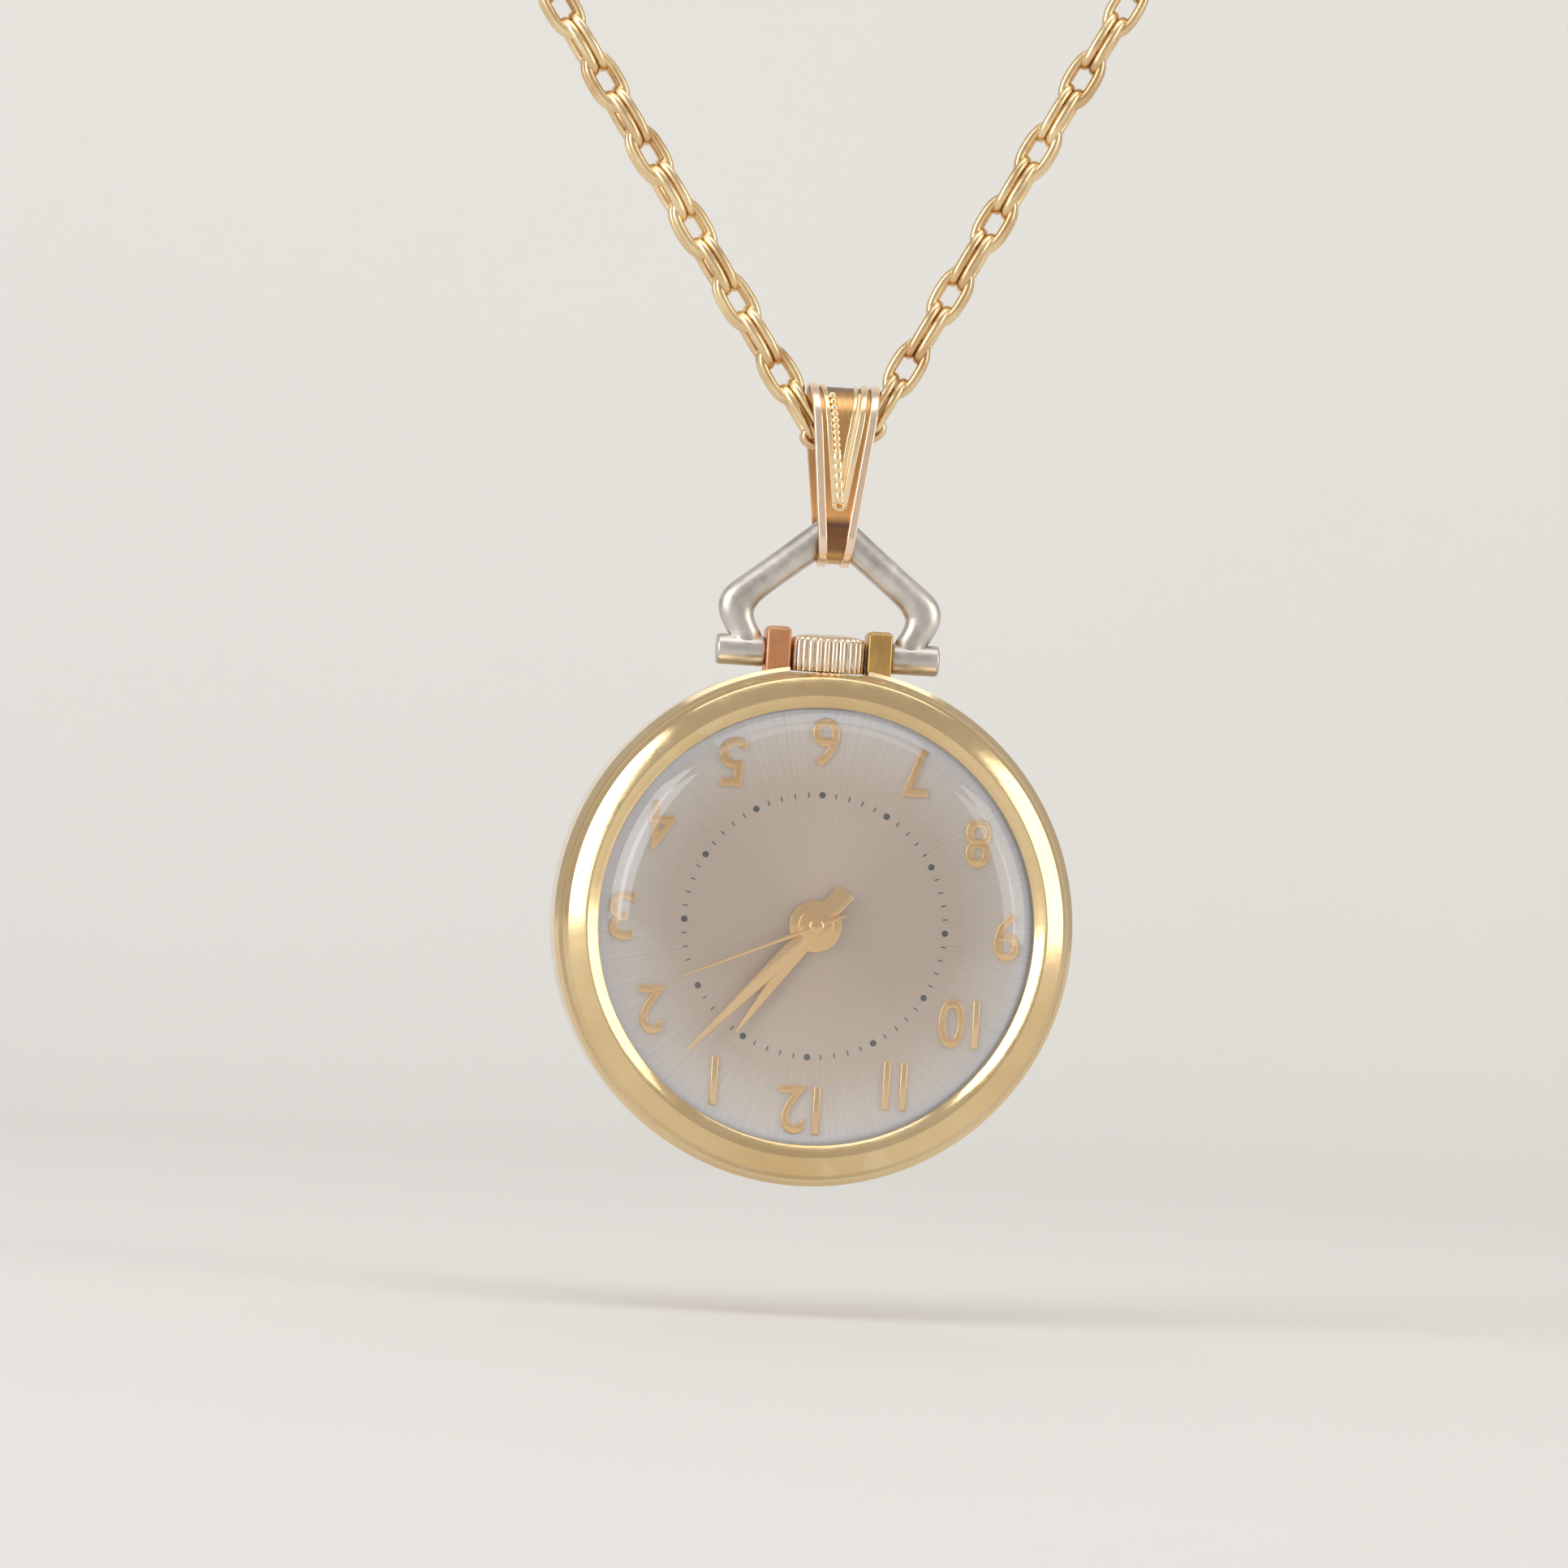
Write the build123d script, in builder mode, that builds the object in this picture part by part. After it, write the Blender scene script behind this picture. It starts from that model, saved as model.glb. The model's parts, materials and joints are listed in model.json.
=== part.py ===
from build123d import *
from math import atan2, cos, degrees, hypot, pi, radians, sin
import os

os.makedirs("parts", exist_ok=True)

# A lady's pendant watch that hangs by its bail from a chain of double links.
# Millimetres and degrees. +Z is up, the dial faces -Y, +X is to the right as seen from the front.
# Places on the watch are given from the middle of the dial, across (x) and up (z).
# Depths are y, from the plane of the crown's stem: negative to the front.

# The movement's radius sets the case round it, and the movement's plan is in shares of it
movement_radius = 14.15
fit_gap = 0.05
dial_thickness = 0.4
stem_depth = 1.8

# Case: its front stands half the dial's thickness in front of the movement
case_wall = 1.8
case_rear = 2.4
case_edge = 0.25
case_front = stem_depth + dial_thickness / 2
bore_radius = movement_radius + fit_gap
case_radius = bore_radius + case_wall

# Lug tabs, with the crown between them and the bow's feet outside
tab_inner = 2.42
tab_width = 1.43
tab_depth = 2.6
tab_round = 0.3
tab_sink = 1.1
tab_rise = 1.45
hinge_rise = 0.7
crown_flat_cut = 0.5
pin_radius = 0.4
tab_outer = tab_inner + tab_width
tab_root = case_radius - tab_sink
hinge_height = case_radius + hinge_rise
tab_top = hinge_height + tab_rise
crown_flat = case_radius - crown_flat_cut

# Bezel, in front of the case's middle, from its wall in to the lip over the crystal
bezel_inset = 0.45
bezel_wall = 0.9
rim_width = 0.3
rim_rise = 0.45
facet_width = 1.1
facet_rise = 0.55
slope_drop = 0.4
lip_thickness = 0.3
lip_overlap = 0.5
dial_clearance = 0.3
bezel_radius = case_radius - bezel_inset
facet_outer = bezel_radius - rim_width
facet_inner = facet_outer - facet_width
facet_outer_rise = bezel_wall + rim_rise
bezel_rise = facet_outer_rise + facet_rise
lip_rise = bezel_rise - slope_drop
groove_rise = lip_rise - lip_thickness

# Crystal: a skirt inside the bezel, a steep shoulder and a bevel round a flat top
skirt_wall = 0.6
shoulder_slope = 0.25
shoulder_rise = 0.8
bevel_width = 1.2
bevel_rise = 1.1
crystal_wall = 0.5
skirt_radius = bore_radius - dial_clearance
groove_radius = skirt_radius + fit_gap
lip_radius = skirt_radius - lip_overlap
dome_foot = lip_radius - fit_gap
dome_shoulder = dome_foot - shoulder_slope
dome_flat = dome_shoulder - bevel_width
dome_shoulder_rise = lip_rise + shoulder_rise
dome_rise = dome_shoulder_rise + bevel_rise

# Case back
back_inset = 0.4
back_slope = 0.9
back_seat = 0.6
back_wall = 0.5
back_rise = 1.5
back_thickness = 0.7
back_radius = case_radius - back_inset
back_flat_radius = back_radius - back_slope
back_room = bore_radius - back_seat

# Dial and numerals
numeral_inset = 2.6
side_numeral_inset = 2.0
pair_numeral_inset = 2.9
numeral_height = 2.6
numeral_width = 1.2
numeral_stroke = 0.42
numeral_relief = 0.2
pair_pitch = 1.75
bar_pitch = 1.05
dial_radius = skirt_radius
numeral_circle = dial_radius - numeral_inset
side_numeral_circle = dial_radius - side_numeral_inset
pair_numeral_circle = dial_radius - pair_numeral_inset

# Hands, set to seven minutes past one, their tips at a distance from the dial's edge
minute_angle = 42.9
hour_angle = 33.6
second_angle = 66.6
hand_thickness = 0.15
minute_inset = 2.85
minute_tail = 2.9
minute_half_width = 0.48
minute_boss = 1.1
hour_inset = 5.75
hour_tail = 2.9
hour_half_width = 0.55
hour_boss = 1.6
second_inset = 5.15
second_tail = 1.9
second_half_width = 0.14
second_boss = 0.45
tip_half_width = 0.06
hand_rise = 0.4
hand_step = 0.35

# Crown, stem and keyless work, from the case's flat inwards
crown_gap = 0.12
crown_side_gap = 0.07
crown_height = 2.1
crown_cap = 0.2
crown_cap_inset = 0.35
flute_depth = 0.2
flute_count = 26
stem_radius = 0.45
stem_socket = 1.3
square_side = 0.6
square_overrun = 0.6
pilot_radius = 0.25
pilot_length = 0.6
clutch_radius = 0.9
clutch_length = 1.3
pinion_inset = 4.25
pinion_length = 1.2
pinion_radius = 1.3
pocket_gap = 0.25
crown_bottom = crown_flat + crown_gap
crown_radius = tab_inner - crown_side_gap
crown_cap_radius = crown_radius - crown_cap_inset
pinion_inner = movement_radius - pinion_inset
clutch_inner = pinion_inner - clutch_length
square_end = clutch_inner - square_overrun
pilot_end = square_end - pilot_length

# Movement, in plan
barrel_place_shares = (-0.438, 0.16)
train_distance_share = 0.272
third_direction = -35.0
escape_direction = -105.0
fork_direction = -60.0
fork_distance_share = 0.173
balance_distance_share = 0.24
motion_distance_share = 0.226
escape_radius_share = 0.12
escape_root_share = 0.8
escape_teeth = 15
balance_radius_share = 0.212
balance_rim = 0.4
balance_spoke = 0.5
roller_radius = 0.6
barrel_arbor_radius = 0.6
barrel_bridge_inset = 0.55
hairspring_inner = 0.4
hairspring_pitch = 0.45
hairspring_turns = 3
hairspring_strip = 0.07

# Movement, in depth
plate_thickness = 1.3
recess_depth = 0.8
wheel_thickness = 0.15
end_gap = 0.03
mesh_gap = 0.06
barrel_height = 0.95
barrel_gap = 0.12
winding_thickness = 0.25
escape_rise = 0.6
centre_gap = 0.07
third_gap = 0.1
fourth_gap = 0.15
balance_thickness = 0.3
balance_gap = 0.1
stud_length = 0.1
bridge_thickness = 0.65

# Arbors and pipes that turn inside each other, from the second hand's arbor out
arbor_radius = 0.15
centre_arbor_wall = 0.1
cannon_gap = 0.02
cannon_wall = 0.16
turning_gap = 0.04
pipe_wall = 0.2
pipe_gap = 0.13
centre_arbor_bore = arbor_radius + fit_gap
centre_arbor_radius = centre_arbor_bore + centre_arbor_wall
cannon_bore = centre_arbor_radius + cannon_gap
cannon_radius = cannon_bore + cannon_wall
hour_pipe_radius = cannon_radius + turning_gap + pipe_wall
dial_hole = hour_pipe_radius + pipe_gap

# Wheel teeth, which set the pitch circles
barrel_teeth = 72
centre_pinion_teeth = 12
centre_teeth = 64
third_pinion_teeth = 8
third_teeth = 60
fourth_pinion_teeth = 8
fourth_teeth = 70
escape_pinion_teeth = 7
cannon_teeth = 12
minute_wheel_teeth = 36
minute_pinion_teeth = 10
hour_wheel_teeth = 40
crown_wheel_teeth = 43
ratchet_teeth = 30
leaf_root_share = 0.7

# Bow: its feet turn outside the tabs, and its corners are rises over the hinge
bow_depth = 1.6
bow_edge = 0.4
barrel_foot_radius = 0.97
foot_length = 3.0
pin_cover = 0.8
ankle_inset = 0.08
ankle_width = 2.12
ankle_outer_rise = 1.1
ankle_inner_rise = 0.7
corner_outer_spread = 0.68
corner_inner_spread = 0.62
corner_outer_rise = 3.05
corner_inner_rise = 2.5
bow_peak_rise = 6.9
bow_peak_height = 2.33
bow_peak_outer_round = 1.5
bow_peak_inner_round = 1.2
bow_corner_round = 0.6
foot_inner = tab_outer + fit_gap
foot_outer = foot_inner + foot_length
pin_reach = foot_outer - pin_cover
bow_ankle_inner = (foot_inner + ankle_inset, hinge_height + ankle_inner_rise)
bow_ankle_outer = (bow_ankle_inner[0] + ankle_width, hinge_height + ankle_outer_rise)
bow_corner_inner = (bow_ankle_inner[0] + corner_inner_spread, hinge_height + corner_inner_rise)
bow_corner_outer = (bow_ankle_outer[0] + corner_outer_spread, hinge_height + corner_outer_rise)
bow_peak_inner = hinge_height + bow_peak_rise
bow_peak_outer = bow_peak_inner + bow_peak_height

# Bail: its lower end hangs on the bow's peak
bail_bow_gap = 0.45
bail_bow_radius = 1.4
bail_chain_radius = 2.4
bail_length = 10.9
bail_sheet = 0.35
bail_top_width = 4.36
bail_bottom_width = 1.94
rail_width = 0.5
rail_relief = 0.18
vee_top_share = 0.5
vee_rise = 3.3
vee_stroke = 0.45
bail_bow_height = bow_peak_inner + bail_bow_gap
bail_bottom = bail_bow_height - bail_bow_radius - bail_sheet
bail_top = bail_bottom + bail_length
bail_chain_height = bail_top - bail_sheet - bail_chain_radius
vee_bottom = bail_bottom + vee_rise

# Chain: a link is as wide as takes the next pair between its wires
wire = 0.52
link_length = 4.2
pair_gap = 0.02
pair_play = 0.05
link_slack = 0.54
left_lean = 34.4
right_lean = 28.0
left_swing = 16.0
right_swing = -16.0
saddle_tilt = 10.7
saddle_offset = (0.16, -0.01)
saddle_slack = 0.05
strand_units = 13
link_width = 4 * wire + pair_gap + 2 * pair_play
link_pitch = link_length - 2 * wire - link_slack
saddle_length = bail_top_width + 2 * wire
saddle_reach = saddle_length / 2 - 2 * wire - saddle_slack
saddle_place = (saddle_offset[0], bail_chain_height + saddle_offset[1])

# Chain end tags
tag_thickness = 0.6
tag_hole_radius = 1.3
tag_hole_rim = 0.8
tag_link_play = 0.2
tag_link_rim = 0.63
tag_link_offset = 0.3
tag_hole_spacing = 3.2
tag_hole_end = tag_hole_radius + tag_hole_rim
tag_link_radius = wire + tag_link_play
tag_link_end = tag_link_radius + tag_link_rim

# Strand directions and the places that follow from them
left_way = (-sin(radians(left_lean)), cos(radians(left_lean)))
right_way = (sin(radians(right_lean)), cos(radians(right_lean)))
saddle_way = (cos(radians(saddle_tilt)), sin(radians(saddle_tilt)))
wire_sides = 6
wire_half = wire / 2 * cos(pi / wire_sides)
end_wire_reach = link_length / 2 - wire_half


def beyond(place, way, distance):
    """The place a distance along a direction."""
    return (place[0] + way[0] * distance, place[1] + way[1] * distance)


def first_unit(side_sign, way):
    """Middle of the first unit of a strand, hooked into the saddle links."""
    hook = beyond(saddle_place, saddle_way, side_sign * saddle_reach)
    lowered_hook = (hook[0], hook[1] - saddle_slack)
    return beyond(lowered_hook, way, end_wire_reach)


left_first = first_unit(-1, left_way)
right_first = first_unit(1, right_way)
left_last = beyond(left_first, left_way, (strand_units - 1) * link_pitch)
right_last = beyond(right_first, right_way, (strand_units - 1) * link_pitch)
tag_link_reach = end_wire_reach + tag_link_offset
tag_hole_reach = tag_link_reach + tag_hole_spacing
hook_place = beyond(left_last, left_way, tag_hole_reach)

# The origin is the middle of the left end tag's hole, so the dial lies below it
dial_x = -hook_place[0]
dial_z = -hook_place[1]


def front(depth, place=(0, 0), turn=0):
    """Plane square to the watch at a depth, seen from the front, turned counterclockwise."""
    way = (cos(radians(turn)), 0, sin(radians(turn)))
    return Plane(origin=(dial_x + place[0], depth, dial_z + place[1]), x_dir=way, z_dir=(0, -1, 0))


def dial_front(depth, angle=0):
    """The same plane turned as the dial is, with 12 at the bottom, and on by a hand's angle."""
    return front(depth, turn=180 - angle)


def across(offset):
    """Plane square to +X, with y to the right and z up."""
    return Plane(origin=(dial_x + offset, 0, dial_z), x_dir=(0, 1, 0), z_dir=(1, 0, 0))


def level(height):
    """Plane square to +Z on the crown's axis."""
    return Plane(origin=(dial_x, 0, dial_z + height), x_dir=(1, 0, 0), z_dir=(0, 0, 1))


watch_axis = Axis((dial_x, 0, dial_z), (0, 1, 0))
turning = Plane(origin=(dial_x, 0, dial_z), x_dir=(1, 0, 0), z_dir=(0, 0, 1))
centred_from = (Align.CENTER, Align.CENTER, Align.MIN)


def turned(points):
    """Face of a ring or disc, drawn by radius and depth, to turn about the watch's axis."""
    with BuildSketch(turning) as profile:
        with BuildLine():
            Polyline(*points, close=True)
        make_face()
    return profile.sketch


def outline(plane, points):
    """Closed face with straight sides on a plane."""
    with BuildSketch(plane) as shape:
        with BuildLine():
            Polyline(*points, close=True)
        make_face()
    return shape.sketch


def rod(place, front_depth, rear_depth, radius, mode=Mode.ADD):
    """Round rod, disc or hole square to the dial."""
    with Locations(front(rear_depth, place)):
        Cylinder(radius, rear_depth - front_depth, align=centred_from, mode=mode)


def pinion(place, front_depth, rear_depth, radius, leaves):
    """Pinion with pointed leaves, their tips at its radius."""
    points = []
    for step in range(2 * leaves):
        reach = radius if step % 2 == 0 else radius * leaf_root_share
        points.append(place_at(reach, step * 180 / leaves))
    extrude(outline(front(rear_depth, place), points), amount=rear_depth - front_depth)


def upright(bottom, top, radius, mode=Mode.ADD):
    """Round rod or hole along the stem."""
    with Locations(level(bottom)):
        Cylinder(radius, top - bottom, align=centred_from, mode=mode)


def place_at(distance, direction, start=(0, 0)):
    """Place at a distance and a direction, in degrees from +X."""
    angle = radians(direction)
    return (start[0] + distance * cos(angle), start[1] + distance * sin(angle))


def pitch_radius(distance, own_teeth, other_teeth):
    """Radius of a wheel that runs with another, less half the gap between them."""
    return distance * own_teeth / (own_teeth + other_teeth) - mesh_gap / 2


# Depths of the stack, from the front. The winding wheels run over the winding pinion
bezel_seat = -case_front
plate_front = -stem_depth
dial_rear = plate_front
dial_face = dial_rear - dial_thickness
plate_rear = plate_front + plate_thickness
recess_floor = plate_front + recess_depth
pocket_floor = -pinion_radius - pocket_gap
arbor_front = plate_rear + end_gap
barrel_bridge_level = arbor_front + barrel_height + barrel_gap
barrel_bridge_thickness = pinion_radius - barrel_bridge_level
winding_level = pinion_radius + fit_gap
bridge_level = winding_level + winding_thickness + fit_gap
bridge_rear = bridge_level + bridge_thickness
arbor_rear = bridge_level - end_gap
escape_level = plate_rear + escape_rise
centre_level = arbor_front + barrel_height + centre_gap
third_level = centre_level + wheel_thickness + third_gap
fourth_level = third_level + wheel_thickness + fourth_gap
hairspring_level = bridge_level - stud_length - wheel_thickness
balance_level = hairspring_level - balance_gap - balance_thickness

# Sizes and places of the movement in plan
train_distance = movement_radius * train_distance_share
motion_distance = movement_radius * motion_distance_share
fork_distance = movement_radius * fork_distance_share
balance_distance = movement_radius * balance_distance_share
balance_radius = movement_radius * balance_radius_share
escape_radius = movement_radius * escape_radius_share
escape_root = escape_radius * escape_root_share
barrel_bridge_radius = movement_radius - barrel_bridge_inset


def movement_place(shares):
    """Place from shares of the movement's radius, across and up."""
    return (movement_radius * shares[0], movement_radius * shares[1])


barrel_place = movement_place(barrel_place_shares)
third_place = place_at(train_distance, third_direction)
escape_place = place_at(train_distance, escape_direction)
fork_place = place_at(fork_distance, fork_direction, escape_place)
balance_place = place_at(balance_distance, fork_direction, fork_place)
centre_place = (0, 0)
minute_wheel_place = (0, motion_distance)
barrel_distance = hypot(*barrel_place)
pinion_middle = pinion_inner + pinion_length / 2

# The crown wheel lies on the stem's line, over the winding pinion, and meets the ratchet wheel
ratchet_share = ratchet_teeth / crown_wheel_teeth
crown_wheel_a = 1 - (1 + ratchet_share) ** 2
crown_wheel_b = pinion_middle - barrel_place[1]
crown_wheel_c = crown_wheel_b ** 2 + barrel_place[0] ** 2
crown_wheel_root = (crown_wheel_b ** 2 - crown_wheel_a * crown_wheel_c) ** 0.5
crown_wheel_pitch = (crown_wheel_b - crown_wheel_root) / crown_wheel_a
crown_wheel_place = (0, pinion_middle - crown_wheel_pitch)
ratchet_pitch = crown_wheel_pitch * ratchet_share

# Case middle: band, crown flat, lug tabs, stem hole
with BuildPart() as case_middle:
    revolve(
        turned(
            [
                (bore_radius, -case_front),
                (case_radius - case_edge, -case_front),
                (case_radius, -case_front + case_edge),
                (case_radius, case_rear - case_edge),
                (case_radius - case_edge, case_rear),
                (bore_radius, case_rear),
            ]
        ),
        axis=watch_axis,
    )
    with Locations(level(crown_flat)):
        Box(2 * tab_inner, 2 * case_radius, case_radius, align=centred_from, mode=Mode.SUBTRACT)
    for side_sign in (-1, 1):
        tab_middle = side_sign * (tab_inner + tab_outer) / 2
        with BuildSketch(front(tab_depth / 2, (tab_middle, tab_root))) as tab:
            Rectangle(tab_outer - tab_inner, tab_top - tab_root, align=(Align.CENTER, Align.MIN))
            fillet(tab.vertices().group_by(Axis.Y)[-1], tab_round)
        extrude(amount=tab_depth)
    upright(bore_radius - stem_radius, tab_top, stem_radius + fit_gap, Mode.SUBTRACT)
    with Locations(across(-tab_outer)):
        with Locations((0, hinge_height)):
            Cylinder(pin_radius, 2 * tab_outer, align=centred_from, mode=Mode.SUBTRACT)
case_middle.part.label = "case_middle"
export_step(case_middle.part, "parts/case_middle.step")

# Bezel: wall, polished facet, inner slope, lip over the crystal
with BuildPart() as bezel:
    revolve(
        turned(
            [
                (groove_radius, bezel_seat),
                (bezel_radius, bezel_seat),
                (bezel_radius, bezel_seat - bezel_wall),
                (facet_outer, bezel_seat - facet_outer_rise),
                (facet_inner, bezel_seat - bezel_rise),
                (lip_radius, bezel_seat - lip_rise),
                (lip_radius, bezel_seat - groove_rise),
                (groove_radius, bezel_seat - groove_rise),
            ]
        ),
        axis=watch_axis,
    )
bezel.part.label = "bezel"
export_step(bezel.part, "parts/bezel.step")

# Crystal: a skirt that stands on the dial's edge under the bezel's lip, and a high dome
crystal_top = bezel_seat - groove_rise + fit_gap
with BuildPart() as crystal:
    revolve(
        turned(
            [
                (skirt_radius - skirt_wall, dial_face),
                (skirt_radius, dial_face),
                (skirt_radius, crystal_top),
                (dome_foot, crystal_top),
                (dome_shoulder, bezel_seat - dome_shoulder_rise),
                (dome_flat, bezel_seat - dome_rise),
                (0, bezel_seat - dome_rise),
                (0, bezel_seat - dome_rise + crystal_wall),
                (dome_flat - crystal_wall / 2, bezel_seat - dome_rise + crystal_wall),
                (dome_shoulder - crystal_wall, bezel_seat - dome_shoulder_rise + crystal_wall / 2),
            ]
        ),
        axis=watch_axis,
    )
crystal.part.label = "crystal"
export_step(crystal.part, "parts/crystal.step")

# Case back: a shallow lid with a sloped edge and room for the movement
with BuildPart() as case_back:
    revolve(
        turned(
            [
                (back_room, case_rear),
                (back_radius, case_rear),
                (back_radius, case_rear + back_wall),
                (back_flat_radius, case_rear + back_rise),
                (0, case_rear + back_rise),
                (0, case_rear + back_rise - back_thickness),
                (back_room, case_rear + back_rise - back_thickness),
            ]
        ),
        axis=watch_axis,
    )
case_back.part.label = "case_back"
export_step(case_back.part, "parts/case_back.step")

# Dial: a plain disc with the hole for the hands
with BuildPart() as dial:
    rod(centre_place, dial_face, dial_rear, dial_radius)
    rod(centre_place, dial_face, dial_rear, dial_hole, Mode.SUBTRACT)
dial.part.label = "dial"
export_step(dial.part, "parts/dial.step")

# Numerals: each figure is straight strokes between points, as shares of half its width and height
figure_shares = {
    "0": [(-1, -0.5), (-1, 0.5), (-0.4, 1), (0.4, 1), (1, 0.5), (1, -0.5), (0.4, -1), (-0.4, -1)]
    + [(-1, -0.5)],
    "1": [(0, -1), (0, 1)],
    "2": [(-1, 0.5), (-0.4, 1), (0.4, 1), (1, 0.5), (0.9, 0.1), (-1, -1), (1, -1)],
    "3": [(-1, 0.6), (-0.4, 1), (0.4, 1), (1, 0.5), (0.2, 0.05), (1, -0.45), (0.4, -1), (-0.4, -1)]
    + [(-1, -0.6)],
    "4": [(0.4, -1), (0.4, 1), (-1, -0.4), (1, -0.4)],
    "5": [(1, 1), (-0.8, 1), (-0.9, 0.1), (0.4, 0.2), (1, -0.3), (0.4, -1), (-0.4, -1), (-1, -0.65)],
    "6": [(1, 0.6), (0.4, 1), (-0.4, 1), (-1, 0.4), (-1, -0.5), (-0.4, -1), (0.4, -1), (1, -0.45)]
    + [(0.4, 0.1), (-1, 0)],
    "7": [(-1, 1), (1, 1), (-0.3, -1)],
    "8": [(-0.4, 0.05), (-0.9, 0.5), (-0.4, 1), (0.4, 1), (0.9, 0.5), (0.4, 0.05), (1, -0.5), (0.4, -1)]
    + [(-0.4, -1), (-1, -0.5), (-0.4, 0.05), (0.4, 0.05)],
    "9": [(-1, -0.6), (-0.4, -1), (0.4, -1), (1, -0.4), (1, 0.5), (0.4, 1), (-0.4, 1), (-1, 0.45)]
    + [(-0.4, -0.1), (1, 0)],
}


def figure_strokes(figure, middle):
    """Middles, lengths and angles of a figure's strokes."""
    points = [
        (middle[0] + share[0] * numeral_width / 2, middle[1] + share[1] * numeral_height / 2)
        for share in figure_shares[figure]
    ]
    strokes = []
    for start, end in zip(points, points[1:]):
        run = end[0] - start[0]
        rise = end[1] - start[1]
        stroke_middle = ((start[0] + end[0]) / 2, (start[1] + end[1]) / 2)
        strokes.append((stroke_middle, hypot(run, rise), degrees(atan2(rise, run))))
    return strokes


def numeral_places(hour):
    """Each figure of a numeral with its middle on the dial."""
    circle = numeral_circle
    if hour in (3, 9):
        circle = side_numeral_circle
    if hour in (10, 11):
        circle = pair_numeral_circle
    angle = radians(90 - hour * 30)
    middle = (circle * cos(angle), circle * sin(angle))
    figures = str(hour)
    if len(figures) == 1:
        return [(figures, middle)]
    pitch = bar_pitch if figures == "11" else pair_pitch
    return [
        (figures[0], (middle[0] - pitch / 2, middle[1])),
        (figures[1], (middle[0] + pitch / 2, middle[1])),
    ]


with BuildPart() as numerals:
    for hour in range(1, 13):
        for figure, middle in numeral_places(hour):
            with BuildSketch(dial_front(dial_face)):
                for stroke_middle, length, angle in figure_strokes(figure, middle):
                    with Locations(Location((*stroke_middle, 0), (0, 0, angle))):
                        Rectangle(length + numeral_stroke / 2, numeral_stroke)
            extrude(amount=numeral_relief)
numerals.part.label = "numerals"
export_step(numerals.part, "parts/numerals.step")


# Hands: tapered blades with squared tails, each a step above the last
hour_hand_depth = dial_face - hand_rise
minute_hand_depth = hour_hand_depth - hand_step
second_hand_depth = minute_hand_depth - hand_step


def blade(depth, angle, reach, tail, half_width):
    """Outline of a hand from its tail to its tip."""
    return outline(
        dial_front(depth, angle),
        [
            (-half_width, -tail),
            (half_width, -tail),
            (half_width, 0),
            (half_width, reach / 4),
            (tip_half_width, reach),
            (-tip_half_width, reach),
            (-half_width, reach / 4),
            (-half_width, 0),
        ],
    )


with BuildPart() as hour_hand:
    extrude(
        blade(hour_hand_depth, hour_angle, dial_radius - hour_inset, hour_tail, hour_half_width),
        amount=hand_thickness,
    )
    rod(centre_place, hour_hand_depth - hand_thickness, hour_hand_depth, hour_boss)
    rod(centre_place, hour_hand_depth - hand_thickness, hour_hand_depth, hour_pipe_radius, Mode.SUBTRACT)
hour_hand.part.label = "hour_hand"
export_step(hour_hand.part, "parts/hour_hand.step")

with BuildPart() as minute_hand:
    extrude(
        blade(minute_hand_depth, minute_angle, dial_radius - minute_inset, minute_tail, minute_half_width),
        amount=hand_thickness,
    )
    rod(centre_place, minute_hand_depth - hand_thickness, minute_hand_depth, minute_boss)
    rod(centre_place, minute_hand_depth - hand_thickness, minute_hand_depth, cannon_radius, Mode.SUBTRACT)
minute_hand.part.label = "minute_hand"
export_step(minute_hand.part, "parts/minute_hand.step")

with BuildPart() as second_hand:
    extrude(
        blade(second_hand_depth, second_angle, dial_radius - second_inset, second_tail, second_half_width),
        amount=hand_thickness,
    )
    rod(centre_place, second_hand_depth - hand_thickness, second_hand_depth, second_boss)
    rod(centre_place, second_hand_depth - hand_thickness, second_hand_depth, arbor_radius, Mode.SUBTRACT)
second_hand.part.label = "second_hand"
export_step(second_hand.part, "parts/second_hand.step")

# Crown: fluted grip with a raised top, bored for the stem
flute_points = []
for step in range(2 * flute_count):
    flute_radius = crown_radius if step % 2 == 0 else crown_radius - flute_depth
    flute_points.append(place_at(flute_radius, step * 180 / flute_count))
with BuildPart() as crown:
    extrude(outline(level(crown_bottom), flute_points), amount=crown_height)
    upright(crown_bottom + crown_height, crown_bottom + crown_height + crown_cap, crown_cap_radius)
    upright(crown_bottom, crown_bottom + stem_socket, stem_radius, Mode.SUBTRACT)
crown.part.label = "crown"
export_step(crown.part, "parts/crown.step")

# Stem: round to the winding pinion, square through the clutch, then a pilot
with BuildPart() as stem:
    upright(pinion_inner, crown_bottom + stem_socket, stem_radius)
    with Locations(level(square_end)):
        Box(square_side, square_side, pinion_inner - square_end, align=centred_from)
    upright(pilot_end, square_end, pilot_radius)
stem.part.label = "stem"
export_step(stem.part, "parts/stem.step")

# Clutch: slides on the stem's square
with BuildPart() as clutch:
    upright(clutch_inner, pinion_inner - fit_gap, clutch_radius)
    with Locations(level(clutch_inner)):
        hole_side = square_side + 2 * fit_gap
        hole_length = pinion_inner - clutch_inner
        Box(hole_side, hole_side, hole_length, align=centred_from, mode=Mode.SUBTRACT)
clutch.part.label = "clutch"
export_step(clutch.part, "parts/clutch.step")

# Winding pinion: turned by the clutch, on the stem's round part
with BuildPart() as winding_pinion:
    upright(pinion_inner, pinion_inner + pinion_length, pinion_radius)
    upright(pinion_inner, pinion_inner + pinion_length, stem_radius + fit_gap, Mode.SUBTRACT)
winding_pinion.part.label = "winding_pinion"
export_step(winding_pinion.part, "parts/winding_pinion.step")

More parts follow.
